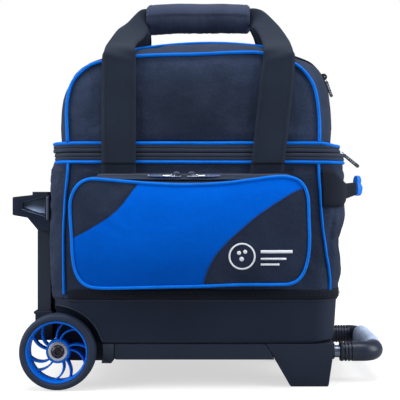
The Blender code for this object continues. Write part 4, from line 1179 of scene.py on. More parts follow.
def gusset_row(side, y):
    """A section of the arched gusset. y is given for the front half and mirrored for the rear."""
    outline = section(y)
    fade = min(1.0, (DOME_END_Y + y) / 10.0) * min(1.0, (-1.0 - y) / 14.0)
    row = []
    for k, ((x, z), (out_x, out_z)) in enumerate(zip(outline, line_normals(outline))):
        ends = fade * min(1.0, k / 5, (OUTLINE_POINTS - 1 - k) / 5)
        out = ends * (dome_fold(x, side * y, z) + 0.6)
        slack = -2.6 * clamp((x - 95.0) / 30.0) * clamp((z - 400.0) / 25.0)
        x, z = held(x + out_x * out, y, z + out_z * out, slack)
        row.append((x, -side * y, z))
    return row


HALVES = ((-1, "lid"), (1, "shoe_door"))
GUSSET_Y = np.r_[np.linspace(-DOME_END_Y, -100, 10), np.linspace(-96, -24, 22),
                 np.linspace(-22, -1.0, 8)]
for (s, owner), name, replaced in zip(HALVES, ("lid", "door"), ("lid_shell", "shoe_door")):
    grid = end_panel(s)
    ob = sheet(f"{name}_end_cloth", grid, [DOME_PAINTED_SHADING, LINING], flip=s > 0,
               uv=grid.reshape(-1, 3)[:, [0, 2]])
    finish(ob, "black_polyester", body=owner, thick=2.4, lined=True)
    ob = sheet(f"{name}_gusset_cloth", [gusset_row(s, y) for y in GUSSET_Y], [BLACK, LINING],
               flip=s < 0)
    finish(ob, "black_polyester", replaced, body=owner, thick=2.4, lined=True)

# piping round both end panels, and a second one along each side of the zip, over the top only
for (s, owner), side, replaced in zip(HALVES, ("front", "rear"), ("dome_piping_front", None)):
    path = [(x + 0.4 * ripple(x, 0, z, size=26.0, seed=5.0 + s), s * 120.6,
             z + 0.3 * ripple(x, 3, z, size=20.0, seed=s)) for x, z in END_OUTLINE]
    finish(sweep(f"dome_piping_{side}_cord", spline(path, 190), 2.15, PIPING, up=(0, 1, 0)),
           replaces=replaced, body=owner)
for s, owner in HALVES:
    outline = arch(s * 22.5)
    top = outline[outline[:, 1] > 380]
    path = [(x, s * 22.5, np.interp(x, top[:, 0], top[:, 1]) + 1.9)
            for x in np.linspace(-113.0, 112.0, 90)]
    finish(sweep(f"crown_piping_{owner}", path, 2.2, PIPING), body=owner)

# the zip that lets the rear half swing back: a raised tape on each side of the split, in a darker
# copy of the zip tape as painted shade
SHOE_TAPE_Y, SHOE_SPLIT_Y = 20.0, 0.7
# (share of the way in to the split, height of the tape's surface)
SHOE_TAPE = ((0.0, -1.2), (0.03, 0.5), (0.3, 0.9), (0.62, 0.7), (0.66, 0.15), (0.72, 0.15),
             (0.76, 0.95), (0.95, 1.15), (1.0, 0.2), (1.0, -1.2))
for (s, owner), name in zip(HALVES, ("lid", "door")):
    grid = []
    for share, rise in SHOE_TAPE:
        y = s * (SHOE_TAPE_Y - (SHOE_TAPE_Y - SHOE_SPLIT_Y) * share)
        height = 1.2 + rise * 1.4
        outline = arch(y)
        row = []
        for x, z in (outline + line_normals(outline) * height)[5:-5]:
            x, z = held(x, y, z, 0.35 * height - 0.2)
            row.append((x, y, z))
        grid.append(row)
    finish(sheet(f"shoe_tape_{name}", grid, TAPE_PAINTED_SHADE), "zip_tape", body=owner, thick=1.2)

# ================================================================ accessory pocket
# (X, Z) of the piping round the pocket, clockwise from the left, seen from the front
POCKET = spline(
    [(-160.7, 242.8), (-158.1, 259.6), (-150.3, 272.5), (-139.9, 279), (-128.3, 280.3),
     (-95.9, 277.7), (-57.1, 274.5), (-11.8, 272.8), (33.5, 274.5), (72.4, 279), (98.3, 282.5),
     (117.7, 283.5), (133.2, 279.7), (142.3, 271.2), (146.8, 259.6), (148.1, 246.6),
     (148.7, 227.2), (149.4, 201.3), (148.1, 181.9), (144.2, 165.1), (137.1, 152.1),
     (125.4, 145), (104.7, 143.7), (59.4, 143.5), (7.6, 141.5), (-44.1, 140.5), (-95.9, 139.2),
     (-121.8, 139.2), (-137.4, 141.8), (-147.7, 149.5), (-154.2, 162.5), (-157.4, 181.9),
     (-158.7, 207.8)], 200, closed=True)
# (X, Z) of the seams that cut off its upper left and lower right corners
UPPER_SEAM = spline(
    [(-62.0, 285.0), (-76.3, 269.9), (-84.3, 258.9), (-95.7, 244.1), (-107.3, 233.4),
     (-125.4, 221.5), (-143.5, 211.1), (-155.1, 205.3), (-170.0, 198.0)], 60)
LOWER_SEAM = spline(
    [(160.0, 274.0), (141.2, 267.3), (129.7, 263.1), (113.1, 253.1), (99.9, 244.6),
     (80.1, 230.9), (62, 215.3), (45.6, 200.7), (29.1, 182.1), (20.9, 167.9), (16, 156.2),
     (13.5, 147.2), (11.0, 136.0)], 80)
POCKET_Y = -145.2
POCKET_STEP = 3.4       # spacing of the mesh points inside the outline


def inside(point, poly):
    x, z = point
    within = False
    for i, (x1, z1) in enumerate(poly):
        x0, z0 = poly[i - 1]
        if (z1 > z) != (z0 > z) and x < (x0 - x1) * (z - z1) / (z0 - z1) + x1:
            within = not within
    return within


def on_pocket(x, z, lift=0.0):
    """A point on the pocket's front, which swells out from its piping."""
    fade = 1 - math.exp(-float(distances(POCKET, x, z).min()) / 9.0)
    pillow = (4.4 * max(0.0, 1 - ((z - 212) / 74.0) ** 2)
              * max(0.0, 1 - (abs(x + 6) / 168.0) ** 4))
    left = math.exp(-(((x + 118) / 40.0) ** 2 + ((z - 240) / 34.0) ** 2))
    top = math.exp(-((z - 268) / 12.0) ** 2)
    ripples = ripple(x, 0, z * 0.22, size=12.0, seed=2.4) * (0.45 + 0.5 * top)
    sag = ripple(x, 0, z, size=55.0, seed=4.0)
    creases = 1.6 * left * ripple(x * 0.9 + z * 0.9, 0, (z - x) * 0.25, size=13.0, seed=6.6)
    fine = 0.25 * ripple(x, 0, z, size=7.5, seed=8.0)
    puff = fade * (2.0 + pillow + 0.8 * sag + 0.8 * ripples + creases + fine)
    return x, POCKET_Y - puff - lift, z


outline = [tuple(p) for p in POCKET]


def clip(line):
    """The part of a seam inside the pocket, meeting its edge."""
    keep = [tuple(p) for p in line if inside(p, outline)]
    start, end = (tuple(POCKET[distances(POCKET, *p).argmin()]) for p in (keep[0], keep[-1]))
    return [start] + keep + [end]


UPPER_SEAM, LOWER_SEAM = clip(UPPER_SEAM), clip(LOWER_SEAM)
points, edges = [], []
for line, closed in ((POCKET, True), (UPPER_SEAM, False), (LOWER_SEAM, False)):
    start, count = len(points), len(line)
    points.extend(Vector((float(x), float(z))) for x, z in line)
    edges.extend((start + k, start + (k + 1) % count) for k in range(count if closed else count - 1))
seams = np.array(UPPER_SEAM + LOWER_SEAM)
for row, z in enumerate(np.arange(136, 288, POCKET_STEP * 0.87), 1):
    for x in np.arange(-164, 154, POCKET_STEP):
        point = (x + (row % 2) * POCKET_STEP / 2, z)
        if (inside(point, outline)
                and distances(POCKET, *point).min() >= POCKET_STEP * 0.55
                and distances(seams, *point).min() >= POCKET_STEP * 0.5):
            points.append(Vector(point))
flat_points, _, triangles, *_ = delaunay_2d_cdt(points, edges, [], 0, 1e-5)
upper_part = UPPER_SEAM + [(-200, 180), (-200, 330), (-50, 330)]
lower_part = LOWER_SEAM + [(10, 120), (220, 120), (220, 290)]
faces, slots = [], []
for triangle in triangles:
    centre = (sum(flat_points[i].x for i in triangle) / 3,
              sum(flat_points[i].y for i in triangle) / 3)
    if inside(centre, outline):
        faces.append(tuple(triangle))
        slots.append(1 if inside(centre, upper_part) or inside(centre, lower_part) else 0)
finish(build("pocket_front_cloth", [on_pocket(p.x, p.y) for p in flat_points], faces,
             [BLUE, PANEL, LINING], uv=[(p.x, p.y) for p in flat_points], index=slots),
       "blue_polyester", "accessory_pocket", thick=1.6)

for name, line in (("ul", UPPER_SEAM), ("lr", LOWER_SEAM)):
    line = resample(line, 120)[2:-2]
    stitches(f"pocket_seam_{name}_0",
             [on_pocket(x, z, 0.05) for x, z in line - line_normals(line) * 1.7],
             (0, -1, 0), pitch=3.6, length=2.3, radius=0.26)
    finish(sweep(f"pocket_ridge_{name}", [on_pocket(x, z, -0.15) for x, z in line], 0.55, BLACK,
                 sides=6))

# ---------------------------------------------------------------- gusset, from piping to body
centre_x, centre_z = (POCKET.max(0) + POCKET.min(0)) / 2


def gusset_point(x, z, back):
    """A point of the gusset, at a share of the way back from the piping to the body."""
    top = clamp((z - 255) / 18.0) * clamp((170 - abs(x + 3)) / 30.0)
    low = z < centre_z
    # along the top it runs to the zip's line, then up to the body
    ease = clamp((150.0 - abs(x + 3)) / 45.0)
    middle = 280.3 * ease + z * (1 - ease)
    rear = 289.5 * ease + (z + 1.0) * (1 - ease)
    slope = z + (middle - z) * back / 0.5 if back < 0.5 else (
        middle + (rear - middle) * (back - 0.5) / 0.5)
    outward = np.sign(x - centre_x)
    bulge = math.sin(math.pi * back) * 1.4
    return (x + outward * 1.2 * back + outward * bulge * (1 - top),
            -145.0 + (145.0 - 118.9) * back,
            z + (slope - z) * top - (1.5 if low else 0.0) * back
            + bulge * (top * 0.4 - (0.8 if low else 0.0)))


grid = [[gusset_point(x, z, back) for x, z in POCKET] for back in np.linspace(0, 1, 9)]
finish(sheet("pocket_gusset_cloth", grid, [BLACK, LINING], closed_u=True), thick=1.4)
finish(sweep("pocket_piping_cord", spline([(x, -145.6, z) for x, z in POCKET], 320, closed=True),
             2.1, PIPING, closed=True, up=(0, 1, 0)), "blue_piping", "pocket_piping")

# ---------------------------------------------------------------- the pocket's zip tapes
POCKET_ZIP_Y, POCKET_ZIP_Z = -132.2, 283.0
SLOPE = np.array((0.0, -26.3, -13.5)) / math.hypot(26.3, 13.5)     # down the slope, forwards
SLOPE_OUT = np.array((0.0, SLOPE[2], -SLOPE[1]))                   # square to it
for name, start, end in (("front", 0.7, 8.4), ("rear", -0.7, -9.0)):
    grid = []
    for share, height in ((0.0, 0.2), (0.0, 1.2), (0.28, 1.35), (0.34, 0.75), (0.9, 0.8),
                          (1.0, 0.3)):
        grid.append([np.array((x, POCKET_ZIP_Y,
                               POCKET_ZIP_Z + 0.5 * ripple(x, 0, 0, size=30.0, seed=3.0)))
                     + SLOPE * (start + (end - start) * share) + SLOPE_OUT * (height + 0.4)
                     for x in np.linspace(-128, 124, 60)])
    finish(sheet(f"pocket_tape_{name}", grid, TAPE), thick=0.9)


# ---------------------------------------------------------------- a plain mark on the pocket
# a ball with three finger holes, and three bars
def mark_ring(x, z, inner, outer, count=48):
    verts = []
    for across, up in circle(1.0, count):
        verts += [on_pocket(x + r * across, z + r * up, 0.45) for r in (inner, outer)]
    faces = []
    for k in range(count):
        here, after = 2 * k, 2 * ((k + 1) % count)
        faces.append((here, here + 1, after + 1, after))
    return build("mark_part", verts, faces, WHITE)


def mark_disc(x, z, radius, count=20):
    verts = [on_pocket(x, z, 0.5)]
    verts += [on_pocket(x + across, z + up, 0.5) for across, up in circle(radius, count)]
    return build("mark_part", verts, [(0, 1 + k, 1 + (k + 1) % count) for k in range(count)],
                 WHITE)


def mark_bar(left, right, low, high):
    return sheet("mark_part", [[on_pocket(x, z, 0.5) for x in np.linspace(left, right, 24)]
                               for z in (low, (low + high) / 2, high)], WHITE)


mark = merge("plain_mark", [
    mark_ring(62.0, 180.5, 15.2, 17.4), mark_disc(58.0, 185.0, 2.6), mark_disc(66.0, 186.5, 2.6),
    mark_disc(61.5, 177.0, 2.9), mark_bar(86.0, 127.0, 184.5, 188.5),
    mark_bar(86.0, 119.0, 176.0, 178.6), mark_bar(86.0, 110.0, 168.6, 171.2)])
finish(mark, thick=0.4)

# ================================================================ straps and hand grip
# outer and inner edge of each front strap, from the band up to the grip
STRAPS = {
    "left": (
        [(-123.0, -125.8, 300.8), (-122.8, -125.9, 380), (-122.4, -126.2, 437),
         (-119.8, -124.9, 449.5), (-119.6, -107, 460.5), (-117.4, -84, 473.5),
         (-111.2, -56, 493), (-101, -34, 507.5), (-86.5, -11, 530.5), (-76.0, -4.0, 535.5),
         (-66, -3.0, 536)],
        [(-77.9, -125.8, 300.8), (-77.6, -125.9, 380), (-77.7, -126.2, 437),
         (-78.6, -124.6, 452), (-80.3, -107, 460.0), (-80.4, -84, 468.5), (-75.5, -56, 480.5),
         (-72.8, -34, 492.5), (-71.5, -11, 506), (-69.0, -4.0, 507.5), (-62, -3.0, 507.5)]),
    "right": (
        [(118.6, -125.8, 300.8), (127.8, -125.9, 380), (132.6, -126.2, 437),
         (130.2, -124.8, 449.5), (129.2, -107, 460.0), (128.2, -84, 471.5), (120.8, -56, 492),
         (112.5, -34, 508.5), (97.5, -11, 529.5), (84.5, -4.0, 536), (72, -3.0, 536)],
        [(74.8, -125.8, 300.8), (83.0, -125.9, 380), (90.0, -126.2, 437), (91.0, -124.6, 452),
         (91.2, -107, 461.0), (91.5, -84, 468.5), (89.0, -56, 484.5), (84.2, -34, 498),
         (76.5, -11, 507.5), (72.0, -4.0, 507.5), (64, -3.0, 507.5)]),
}
STRAP_FOOT_Z = 300.8
STRAP_STITCH = dict(pitch=3.6, length=2.4, radius=0.32)


def sewn_edge(edge, slope):
    """The edge of the strap carried on below the band, against the body."""
    x = edge[0][0]
    return [(x + slope * (262.0 - STRAP_FOOT_Z), -122.6, 262.0),
            (x + slope * -18, -122.7, 283), (x, -124.9, 300.2)]


def rear_edge(edge):
    """The front strap's edge mirrored to the rear, starting higher up."""
    start = (edge[0][0] * 0.75 + edge[1][0] * 0.25, 125.8, 338.0)
    return [start] + [(x, -y, z) for x, y, z in edge[1:]]


for side, (outer, inner) in STRAPS.items():
    first = side == "left"
    ribbon(f"front_web_{side}", outer, inner, 2.5, WEBBING, 110, body="front_handle",
           replaces="front_handle_strap" if first else None)
    for k, share in enumerate((0.1, 0.9)):
        line = [np.array(a) * (1 - share) + np.array(b) * share + np.array((0, -1.0, 0))
                for a, b in zip(outer[:3], inner[:3])]
        stitches(f"front_web_stitch_{side}_{k}", resample(line, 60), (0, -1, 0), lift=0.25,
                 body="front_handle", **STRAP_STITCH)
    slope = (outer[1][0] - outer[0][0]) / (outer[1][2] - outer[0][2])
    ribbon(f"front_web_sewn_{side}", sewn_edge(outer, slope), sewn_edge(inner, slope), 2.4,
           WEBBING, 24, points=7)
    ribbon(f"rear_web_{side}", rear_edge(outer), rear_edge(inner), 2.5, WEBBING, 100,
           up=(0, 1, 0), body="shoe_door", replaces="rear_handle_strap" if first else None)

# ---------------------------------------------------------------- wrap round the grip
WRAP_LONG, WRAP_Z = 151.5, 521.2


def wrap_ring(side, along):
    """One section of half the wrap, closed by a flat inner face."""
    x = -75.0 + WRAP_LONG * along
    from_end = min(along, 1 - along) * WRAP_LONG
    base = 21.4 - 0.9 * along
    if from_end < 5.0:
        base -= 3.4 * (1 - math.sin(math.pi / 2 * from_end / 5.0))
    if 7.0 < from_end < 9.0:
        base -= 0.5
    centre = WRAP_Z - 2.6 * clamp((-22.0 - x) / 52.0) ** 1.3 - clamp((x - 40.0) / 38.0)
    verts = []
    for j in range(45):
        angle = math.pi * j / 44        # 0 at the top, pi at the bottom
        sine, cosine = math.sin(angle), math.cos(angle)
        radius = base * (1.0 + 0.012 * ripple(x, 20 * cosine, 20 * sine, size=14.0, seed=side))
        seam = 1.52 + 0.06 * ripple(x, 0, 0, size=40.0, seed=9.0)
        flap = 1.0 / (1.0 + math.exp((angle - seam) / 0.025))
        pucker = 0.7 * ripple(x * 1.6, angle * 10, 2 * side, size=9.0, seed=3.3) * (1 - flap)
        crease = 0.45 * ripple(x * 0.5, angle * 18, 2 * side, size=17.0, seed=3.3)
        radius += (1.3 * flap if side < 0 else 0.0) + (crease + pucker) * min(1.0, from_end / 12)
        verts.append((x, side * (0.5 + radius * sine * 0.97), centre + radius * cosine))
    flat = base - 0.8
    return verts + [(x, side * 0.5, centre - flat + 2 * flat * q) for q in (0.02, 0.5, 0.98)]


for s, side, owner in ((-1, "front", "front_handle"), (1, "rear", "shoe_door")):
    rings = [wrap_ring(s, k / 109) for k in range(110)]
    finish(solid_tube(f"{side}_wrap", rings, WRAP, uv=grid_uv(rings), autosmooth=55),
           "grip_wrap", f"{side}_grip_cover", body=owner)
stitches("wrap_stitch", [(x, -0.7 - 21.9 * math.sin(1.62) * 0.97,
                          WRAP_Z + 21.6 * math.cos(1.62) + 3.6) for x in np.linspace(-58, 60, 40)],
         (0, -1, 0.1), pitch=4.0, radius=0.3, body="front_handle")

# ================================================================ grab handle on the right end
CORNER_X, CORNER_Y = BODY_X + 166.0, 86.0       # centre the web bends round at each corner
# angle round the corner, then the web's middle height and half width there
CORNER_WEB = [(-80, 268.5, 25.1), (-72, 268.5, 25.1), (-62, 267.4, 24.0), (-55, 265.4, 21.8),
              (-45, 262.9, 19.3), (-36, 262.0, 16.8), (-20, 263.7, 12.2), (0, 264.4, 11.0)]
near_path = [(169.2, -121.3)] + [
    (CORNER_X + 35.2 * math.cos(math.radians(angle)),
     -CORNER_Y + 35.2 * math.sin(math.radians(angle))) for angle, _, _ in CORNER_WEB]
path = near_path + [(207.0, -66), (213.6, -50), (227.5, -31), (234.5, -14), (238.4, 14),
                    (235.6, 31), (220.0, 50), (209.0, 66)]
path += [(x, -y) for x, y in near_path[::-1]]
widths = [(268.5, 25.1)] + [row[1:] for row in CORNER_WEB]
widths += [(265.0, 11.0), (266.0, 10.6), (269.0, 9.2), (271.0, 8.2)]
widths += widths[::-1]
top, low = ([(x, y, middle + sign * half) for (x, y), (middle, half) in zip(path, widths)]
            for sign in (1, -1))
ribbon("side_web", top, low, 2.3, SIDEWEB, 130, up=(1, 0, 0), replaces="side_handle_strap")
for s, side in SIDES:
    out = [(36.5 * math.cos(math.radians(g)), s * 36.5 * math.sin(math.radians(-g)), 0)
           for g in np.linspace(-82, -63, 12)]
    for z, name in ((289.6, "top"), (246.8, "low")):
        stitches(f"side_web_stitch_{name}_{side}",
                 [(CORNER_X + x, s * CORNER_Y + y, z) for x, y, _ in out], out, **STRAP_STITCH)

# the moulded grip: two lobes one above the other, with a waist between
LOBES = []
for k in range(40):
    angle = TAU * k / 40
    z = 14.7 * math.sin(angle)
    waist = 1.0 - 0.34 * math.exp(-((z - 2.4) / 2.6) ** 2)
    across = math.copysign(abs(math.cos(angle)) ** 0.55, math.cos(angle))
    LOBES.append(((5.3 if z > 2.4 else 6.7) * across * waist, z))
path = spline([(229.4, -28.0), (234.8, -14), (237.4, 0), (238.7, 12), (238.9, 21),
               (238.2, 28.0)], 36)
rings = []
for k, ((x, y), (out_y, out_x)) in enumerate(zip(path, unit(np.gradient(path, axis=0)))):
    from_end = min(k / 35, 1 - k / 35)
    size = 0.55 + 0.45 * (math.sin(math.pi * from_end / 0.12 / 2) if from_end < 0.12 else 1.0)
    wide = size * (1.0 + 0.035 * math.cos(TAU * k / 4.0))
    rings.append([(x + out_x * out * wide, y - out_y * out * wide,
                   273.6 + rise * (0.85 + 0.15 * size)) for out, rise in LOBES])
finish(solid_tube("side_grip_moulded", rings, BLUE_GRIP, autosmooth=60), "blue_grip_rubber",
       "side_handle_grip")

# ================================================================ lift handle at the right end
LIFT_X, LIFT_Y, LIFT_Z, LIFT_BEND = 250.0, 68.0, 41.8, 18.0
SLEEVE_RADIUS, GROOVE_RADIUS = 13.5, 12.0


def corner_run(xs, side, last):
    """Along X at one side, round the bend, and in to last from mid depth."""
    pts = [(x, side * LIFT_Y, LIFT_Z) for x in xs]
    for k in range(1, 13):
        angle = math.radians(90 * k / 12)
        pts.append((LIFT_X - LIFT_BEND + LIFT_BEND * math.sin(angle),
                    side * (LIFT_Y - LIFT_BEND + LIFT_BEND * math.cos(angle)), LIFT_Z))
    return pts + [(LIFT_X, side * last, LIFT_Z)]


def grooves(first, pitch, count, width):
    """(X, radius) stations of the grooves round a sleeve."""
    stations = []
    for k in range(count):
        x = first + pitch * k
        stations += [(x, SLEEVE_RADIUS), (x + 0.5, GROOVE_RADIUS),
                     (x + width - 0.5, GROOVE_RADIUS), (x + width, SLEEVE_RADIUS)]
    return stations


near = corner_run((152, 180, 205, 220, 232), -1, 30)
finish(sweep("lift_tube_bent", near + [(x, -y, z) for x, y, z in near[::-1]], 8.5, ALUMINIUM,
             sides=28, up=(0, 0, 1)), "dark_tube", "lift_handle_tube")
SLEEVES = {"near": grooves(204.6, 4.8, 3, 2.3) + [(225.0, SLEEVE_RADIUS)],
           "far": grooves(212.0, 4.3, 5, 2.0)}
for s, side in SIDES:
    stations = [(199.5, 9.4), (200.2, 12.9), (201.0, SLEEVE_RADIUS), *SLEEVES[side],
                (232.0, SLEEVE_RADIUS)]
    run = corner_run([x for x, _ in stations], s, 48.2)
    radii = [radius for _, radius in stations]
    radii += [SLEEVE_RADIUS] * (len(run) - len(radii) - 1) + [12.7]
    ob = sweep(f"lift_elbow_{side}", run, radii, GLOSS, sides=36, up=(0, 0, 1))
    ob.data.set_sharp_from_angle(angle=math.radians(48))
    finish(ob, "black_plastic", f"lift_sleeve_{side}")
for s, side in SIDES:
    path = [(x, s * LIFT_Y, LIFT_Z) for x in (183.0, 184.0, 188.0, 191.4, 192.2)]
    finish(sweep(f"lift_socket_{side}", path, [10.0, 10.8, 10.8, 10.8, 10.0], PLASTIC, sides=32,
                 up=(0, 0, 1)), "black_plastic")
rings = []
for k in range(60):
    y = -48.0 + 96.0 * k / 59
    size = 0.86 + 0.14 * math.sin(math.pi / 2 * min(1.0, (48.0 - abs(y)) / 4.5))
    wave = 0.55 * math.cos(TAU * y / 17.0) if abs(y) < 36 else 0.0
    half_wide, half_high = (12.7 + wave) * size, (17.2 + wave * 0.4) * size
    rings.append([
        (LIFT_X + half_wide * math.copysign(abs(math.cos(a)) ** 0.85, math.cos(a)), y,
         LIFT_Z + half_high * math.copysign(abs(math.sin(a)) ** 0.9, math.sin(a)))
        for a in np.linspace(0, TAU, 44, endpoint=False)])
finish(solid_tube("lift_grip_moulded", rings, GREY_GRIP, autosmooth=60), "grey_grip_rubber",
       "lift_handle_grip")


# ================================================================ zip sliders and pulls
# Each part is laid out on three direction vectors: along or run, across, and out.
def bevelled(name, centre, edge_a, edge_b, edge_c, material, bevel, segments=2):
    """A box from its centre and half-edge vectors, with softened edges."""
    verts = [centre + i * edge_a + j * edge_b + k * edge_c
             for k in (-1, 1) for i, j in ((-1, -1), (1, -1), (1, 1), (-1, 1))]
    faces = [(0, 1, 2, 3), (4, 7, 6, 5), (0, 4, 5, 1), (1, 5, 6, 2), (2, 6, 7, 3), (3, 7, 4, 0)]
    ob = clean(build(name, verts, faces, material), bevel=bevel, segments=segments)
    ob.data.shade_smooth()
    ob.data.set_sharp_from_angle(angle=math.radians(35))
    return ob


def slider(name, base, run, across, out, material, size):
    """A slider: a plate with a cheek along each side, and a bridge the pull hangs on."""
    base, run, across, out = (np.array(v, float) for v in (base, run, across, out))
    plate = bevelled(name + "_a", base + out * 1.5, run * 5.0 * size, across * 3.7 * size,
                     out * 0.8, material, bevel=0.55)
    arc = [base + out * (2.2 + 2.9 * size * math.sin(math.pi * k / 10))
           + run * (3.4 * size * math.cos(math.pi * k / 10)) for k in range(11)]
    bridge = sweep(name + "_b", arc, 1.0, material, up=tuple(across),
                   profile=[(0.7, -1.4), (0.7, 1.4), (-0.7, 1.4), (-0.7, -1.4)])
    bridge.data.set_sharp_from_angle(angle=math.radians(40))
    cheeks = [bevelled(name + "_c", base + out * 1.2 + across * s * 3.4 * size - run * 0.6,
                       run * 4.0 * size, across * 0.7, out * 1.3, material, bevel=0.4)
              for s in (-1, 1)]
    return merge(name, [plate, bridge] + cheeks)


def plate_pull(name, pin, along, across, out, length, root, tip, material):
    """A flat tapered tab; root and tip are its half widths at the pin and the free end."""
    steps = 20
    stations = []
    for k in range(steps + 1):
        t = k / steps
        width = root + (tip - root) * (t ** 1.5)
        if t < 0.06:        # rounded ends
            width *= math.sqrt(max(0.0, 1 - ((0.06 - t) / 0.06) ** 2))
        if t > 0.93:
            width *= math.sqrt(max(0.0, 1 - ((t - 0.93) / 0.07) ** 2))
        stations.append((t * length, width))
    verts = [pin + along * (t - 1.5) + across * (width * share)
             + out * ((0.55 if abs(share) > 0.9 else 0.9) * side)
             for side in (1, -1) for t, width in stations for share in (-1, -0.82, 0.82, 1)]
    back = (steps + 1) * 4      # where the second face's points start
    front_faces = grid_faces(steps + 1, 4)
    faces = front_faces + [tuple(back + i for i in face[::-1]) for face in front_faces]
    rims = [(k * 4 + j, (k + 1) * 4 + j) for k in range(steps) for j in (0, 3)]
    rims += [(k * 4 + j, k * 4 + j + 1) for k in (0, steps) for j in range(3)]
    faces += [(a, b, back + b, back + a) for a, b in rims]
    return clean(build(name, verts, faces, material, autosmooth=40), weld=True)


X_AXIS = np.array((1.0, 0, 0))
for side, x, s in (("left", -23.3, -1), ("right", -3.7, 1)):
    base = np.array((x, POCKET_ZIP_Y, POCKET_ZIP_Z)) + SLOPE_OUT * 1.7 + SLOPE * 0.8
    ob = slider(f"pocket_zip_car_{side}", base, X_AXIS, SLOPE, SLOPE_OUT, GUNMETAL, size=1.25)
    finish(ob, "zip_pull_metal", f"pocket_slider_{side}", body=f"pocket_slider_{side}")
    pin = base + X_AXIS * (s * 3.4) + SLOPE_OUT * 2.6 + SLOPE * 3.0
    tab = plate_pull(f"pocket_tab_{side}_a", pin + X_AXIS * s * 6.0, X_AXIS * s, SLOPE,
                     SLOPE_OUT, 29.5, 2.5, 1.3, NICKEL)
    link = [pin + X_AXIS * s * run + SLOPE * down for run, down in (
        (-1.6, 2.2), (1.6, 2.6), (5.2, 1.6), (5.2, -1.6), (1.6, -2.6), (-1.6, -2.2))]
    link = sweep(f"pocket_tab_{side}_b", spline(link, 30, closed=True), 0.6, NICKEL, sides=8,
                 closed=True)
    finish(merge(f"pocket_tab_{side}", [tab, link]), "zip_pull_metal", f"pocket_pull_{side}",
           body=f"pocket_pull_{side}")


def rubber_pull(name, pin, along, across, out, body, node, length):
    """A dotted rubber tab hung on a wire loop."""
    pin, along, across, out = (np.array(v, float) for v in (pin, along, across, out))
    tab = plate_pull(name + "_a", pin + along * 5.5, along, across, out * 1.25, length, 3.0,
                     3.4, PULL_RUBBER)
    wire = [pin + along * down + across * wide for down, wide in (
        (-1.2, 2.0), (3.0, 2.4), (6.6, 1.4), (6.6, -1.4), (3.0, -2.4), (-1.2, -2.0))]
    wire = sweep(name + "_b", spline(wire, 28, closed=True), 0.65, NICKEL, sides=8, closed=True)
    dots = [bevelled(name + "_dot", pin + along * (9.5 + 3.6 * k) + across * s * 1.7 + out * 1.05,
                     along * 0.75, across * 0.32, out * 0.22, WHITE, bevel=0.12, segments=1)
            for k in range(5) for s in (-1, 1)]
    finish(merge(name, [tab, wire] + dots), "zip_pull_metal", node, body=body)


ob = slider("main_zip_car", (199.2, -25.0, 318.6), (0, 1, 0), (0, 0, 1), (1, 0, 0), NICKEL,
            size=1.05)
finish(ob, "zip_pull_metal", "main_zip_slider", body="main_slider")
rubber_pull("main_zip_tab", (208.9, -25.0, 321.2), (0.777, 0, -0.630), (0.445, 0.707, 0.549),
            (0.445, -0.707, 0.549), "main_pull", "main_zip_pull", length=29.0)

# the shoe zip's slider stands on the dome's upper right corner
SHOE_ZIP_Y = -5.6
half, top, _, corner, _, fall = dome(0.0)


def on_corner(degrees, lift):
    """A point above the corner's arc, and the outward direction there."""
    angle = math.radians(degrees)
    out = np.array((math.cos(angle), 0, math.sin(angle)))
    centre = np.array((DOME_X + half - corner, SHOE_ZIP_Y, top - fall - corner))
    return centre + out * (corner + lift), out


base, out = on_corner(31.0, 2.4)
ob = slider("shoe_zip_car", base, (-out[2], 0, out[0]), (0, 1, 0), out, BOLT, size=1.05)
finish(ob, "zip_pull_metal", "shoe_zip_slider", body="shoe_slider")
pin, _ = on_corner(29, 5.0)
hang = np.array((0.33, 0, -0.945)) / math.hypot(0.33, 0.945)
rubber_pull("shoe_zip_tab", pin, hang, (-hang[2] * 0.64, 0.77, hang[0] * 0.64),
            (-hang[2] * 0.77, -0.64, hang[0] * 0.77), "shoe_pull", "shoe_zip_pull", length=25.0)

# ================================================================ floor, light and camera
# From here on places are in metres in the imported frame.
scene = bpy.context.scene


def studio_floor():
    """White floor that keeps a soft contact shadow, and stays white out to the horizon."""
    mat = Shader("studio_white", rough=0.95, spec=0.0)
    seen = mat.new("ShaderNodeLightPath").outputs["Is Camera Ray"]
    mat.colour(mat.mix(seen, (0.42, 0.42, 0.42, 1.0), (0.86, 0.86, 0.86, 1.0)))
    x, y, _ = mat.split(mat.position())
    far = mat.math("ADD", mat.math("MULTIPLY", x, x), mat.math("MULTIPLY", y, y))
    glow = mat.new("ShaderNodeEmission")
    glow.inputs["Color"].default_value = (1, 1, 1, 1)
    glow.inputs["Strength"].default_value = 1.22
    blend = mat.new("ShaderNodeMixShader")
    mat.put(blend.inputs[0], mat.math("MULTIPLY", seen,
                                      mat.remap(far, source=(0.03, 0.30), to=(0.50, 1.0))))
    mat.put(blend.inputs[1], mat.surface.outputs[0])
    mat.put(blend.inputs[2], glow.outputs[0])
    mat.put(mat.tree.nodes["Material Output"].inputs["Surface"], blend.outputs[0])
    return mat.material


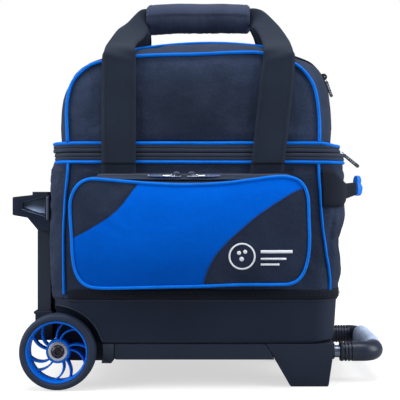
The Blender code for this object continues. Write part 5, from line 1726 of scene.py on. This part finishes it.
FLOOR_Z = -0.0004       # just under the wheels
mesh = bpy.data.meshes.new("studio_floor")
mesh.from_pydata([(x, y, FLOOR_Z) for x, y in ((-7, -7), (7, -7), (7, 9), (-7, 9))], [],
                 [(0, 1, 2, 3)])
mesh.materials.append(studio_floor())
floor = bpy.data.objects.new("studio_floor", mesh)
scene.collection.objects.link(floor)

# a white world, dimmer as a light than as the camera sees it
world = bpy.data.worlds.new("studio")
scene.world = world
world.use_nodes = True
nodes, links = world.node_tree.nodes, world.node_tree.links
background = nodes["Background"]
background.inputs["Color"].default_value = (1.0, 1.0, 1.0, 1.0)
light_path = nodes.new("ShaderNodeLightPath")
strength = nodes.new("ShaderNodeMapRange")
links.new(light_path.outputs["Is Camera Ray"], strength.inputs["Value"])
strength.inputs["To Min"].default_value = 0.26
strength.inputs["To Max"].default_value = 1.0
links.new(strength.outputs[0], background.inputs["Strength"])


def area(name, at, to, size, power):
    light = bpy.data.lights.new(name, "AREA")
    light.shape = "RECTANGLE"
    light.size, light.size_y = size
    light.energy = power
    ob = bpy.data.objects.new(name, light)
    scene.collection.objects.link(ob)
    ob.location = at
    ob.rotation_euler = (Vector(to) - Vector(at)).to_track_quat("-Z", "Y").to_euler()
    ob.visible_camera = False


area("key_top", at=(-0.05, -0.32, 1.9), to=(0, 0, 0.25), size=(1.5, 0.8), power=35)
area("fill_left", at=(-1.15, -0.50, 0.62), to=(0, -0.05, 0.36), size=(0.6, 1.0), power=14)
area("fill_right", at=(1.2, -0.45, 0.66), to=(0.1, -0.05, 0.36), size=(0.6, 1.0), power=16)

camera = bpy.data.cameras.new("camera")
camera.sensor_width = 36.0
camera.lens = 68.13
camera.shift_x, camera.shift_y = -0.0625, -0.0075
camera.clip_start, camera.clip_end = 0.05, 30.0
holder = bpy.data.objects.new("camera", camera)
scene.collection.objects.link(holder)
holder.location = to_scene(EYE)
holder.rotation_euler = (math.pi / 2, 0, 0)
scene.camera = holder
scene.view_settings.view_transform = "Standard"
scene.view_settings.look = "None"
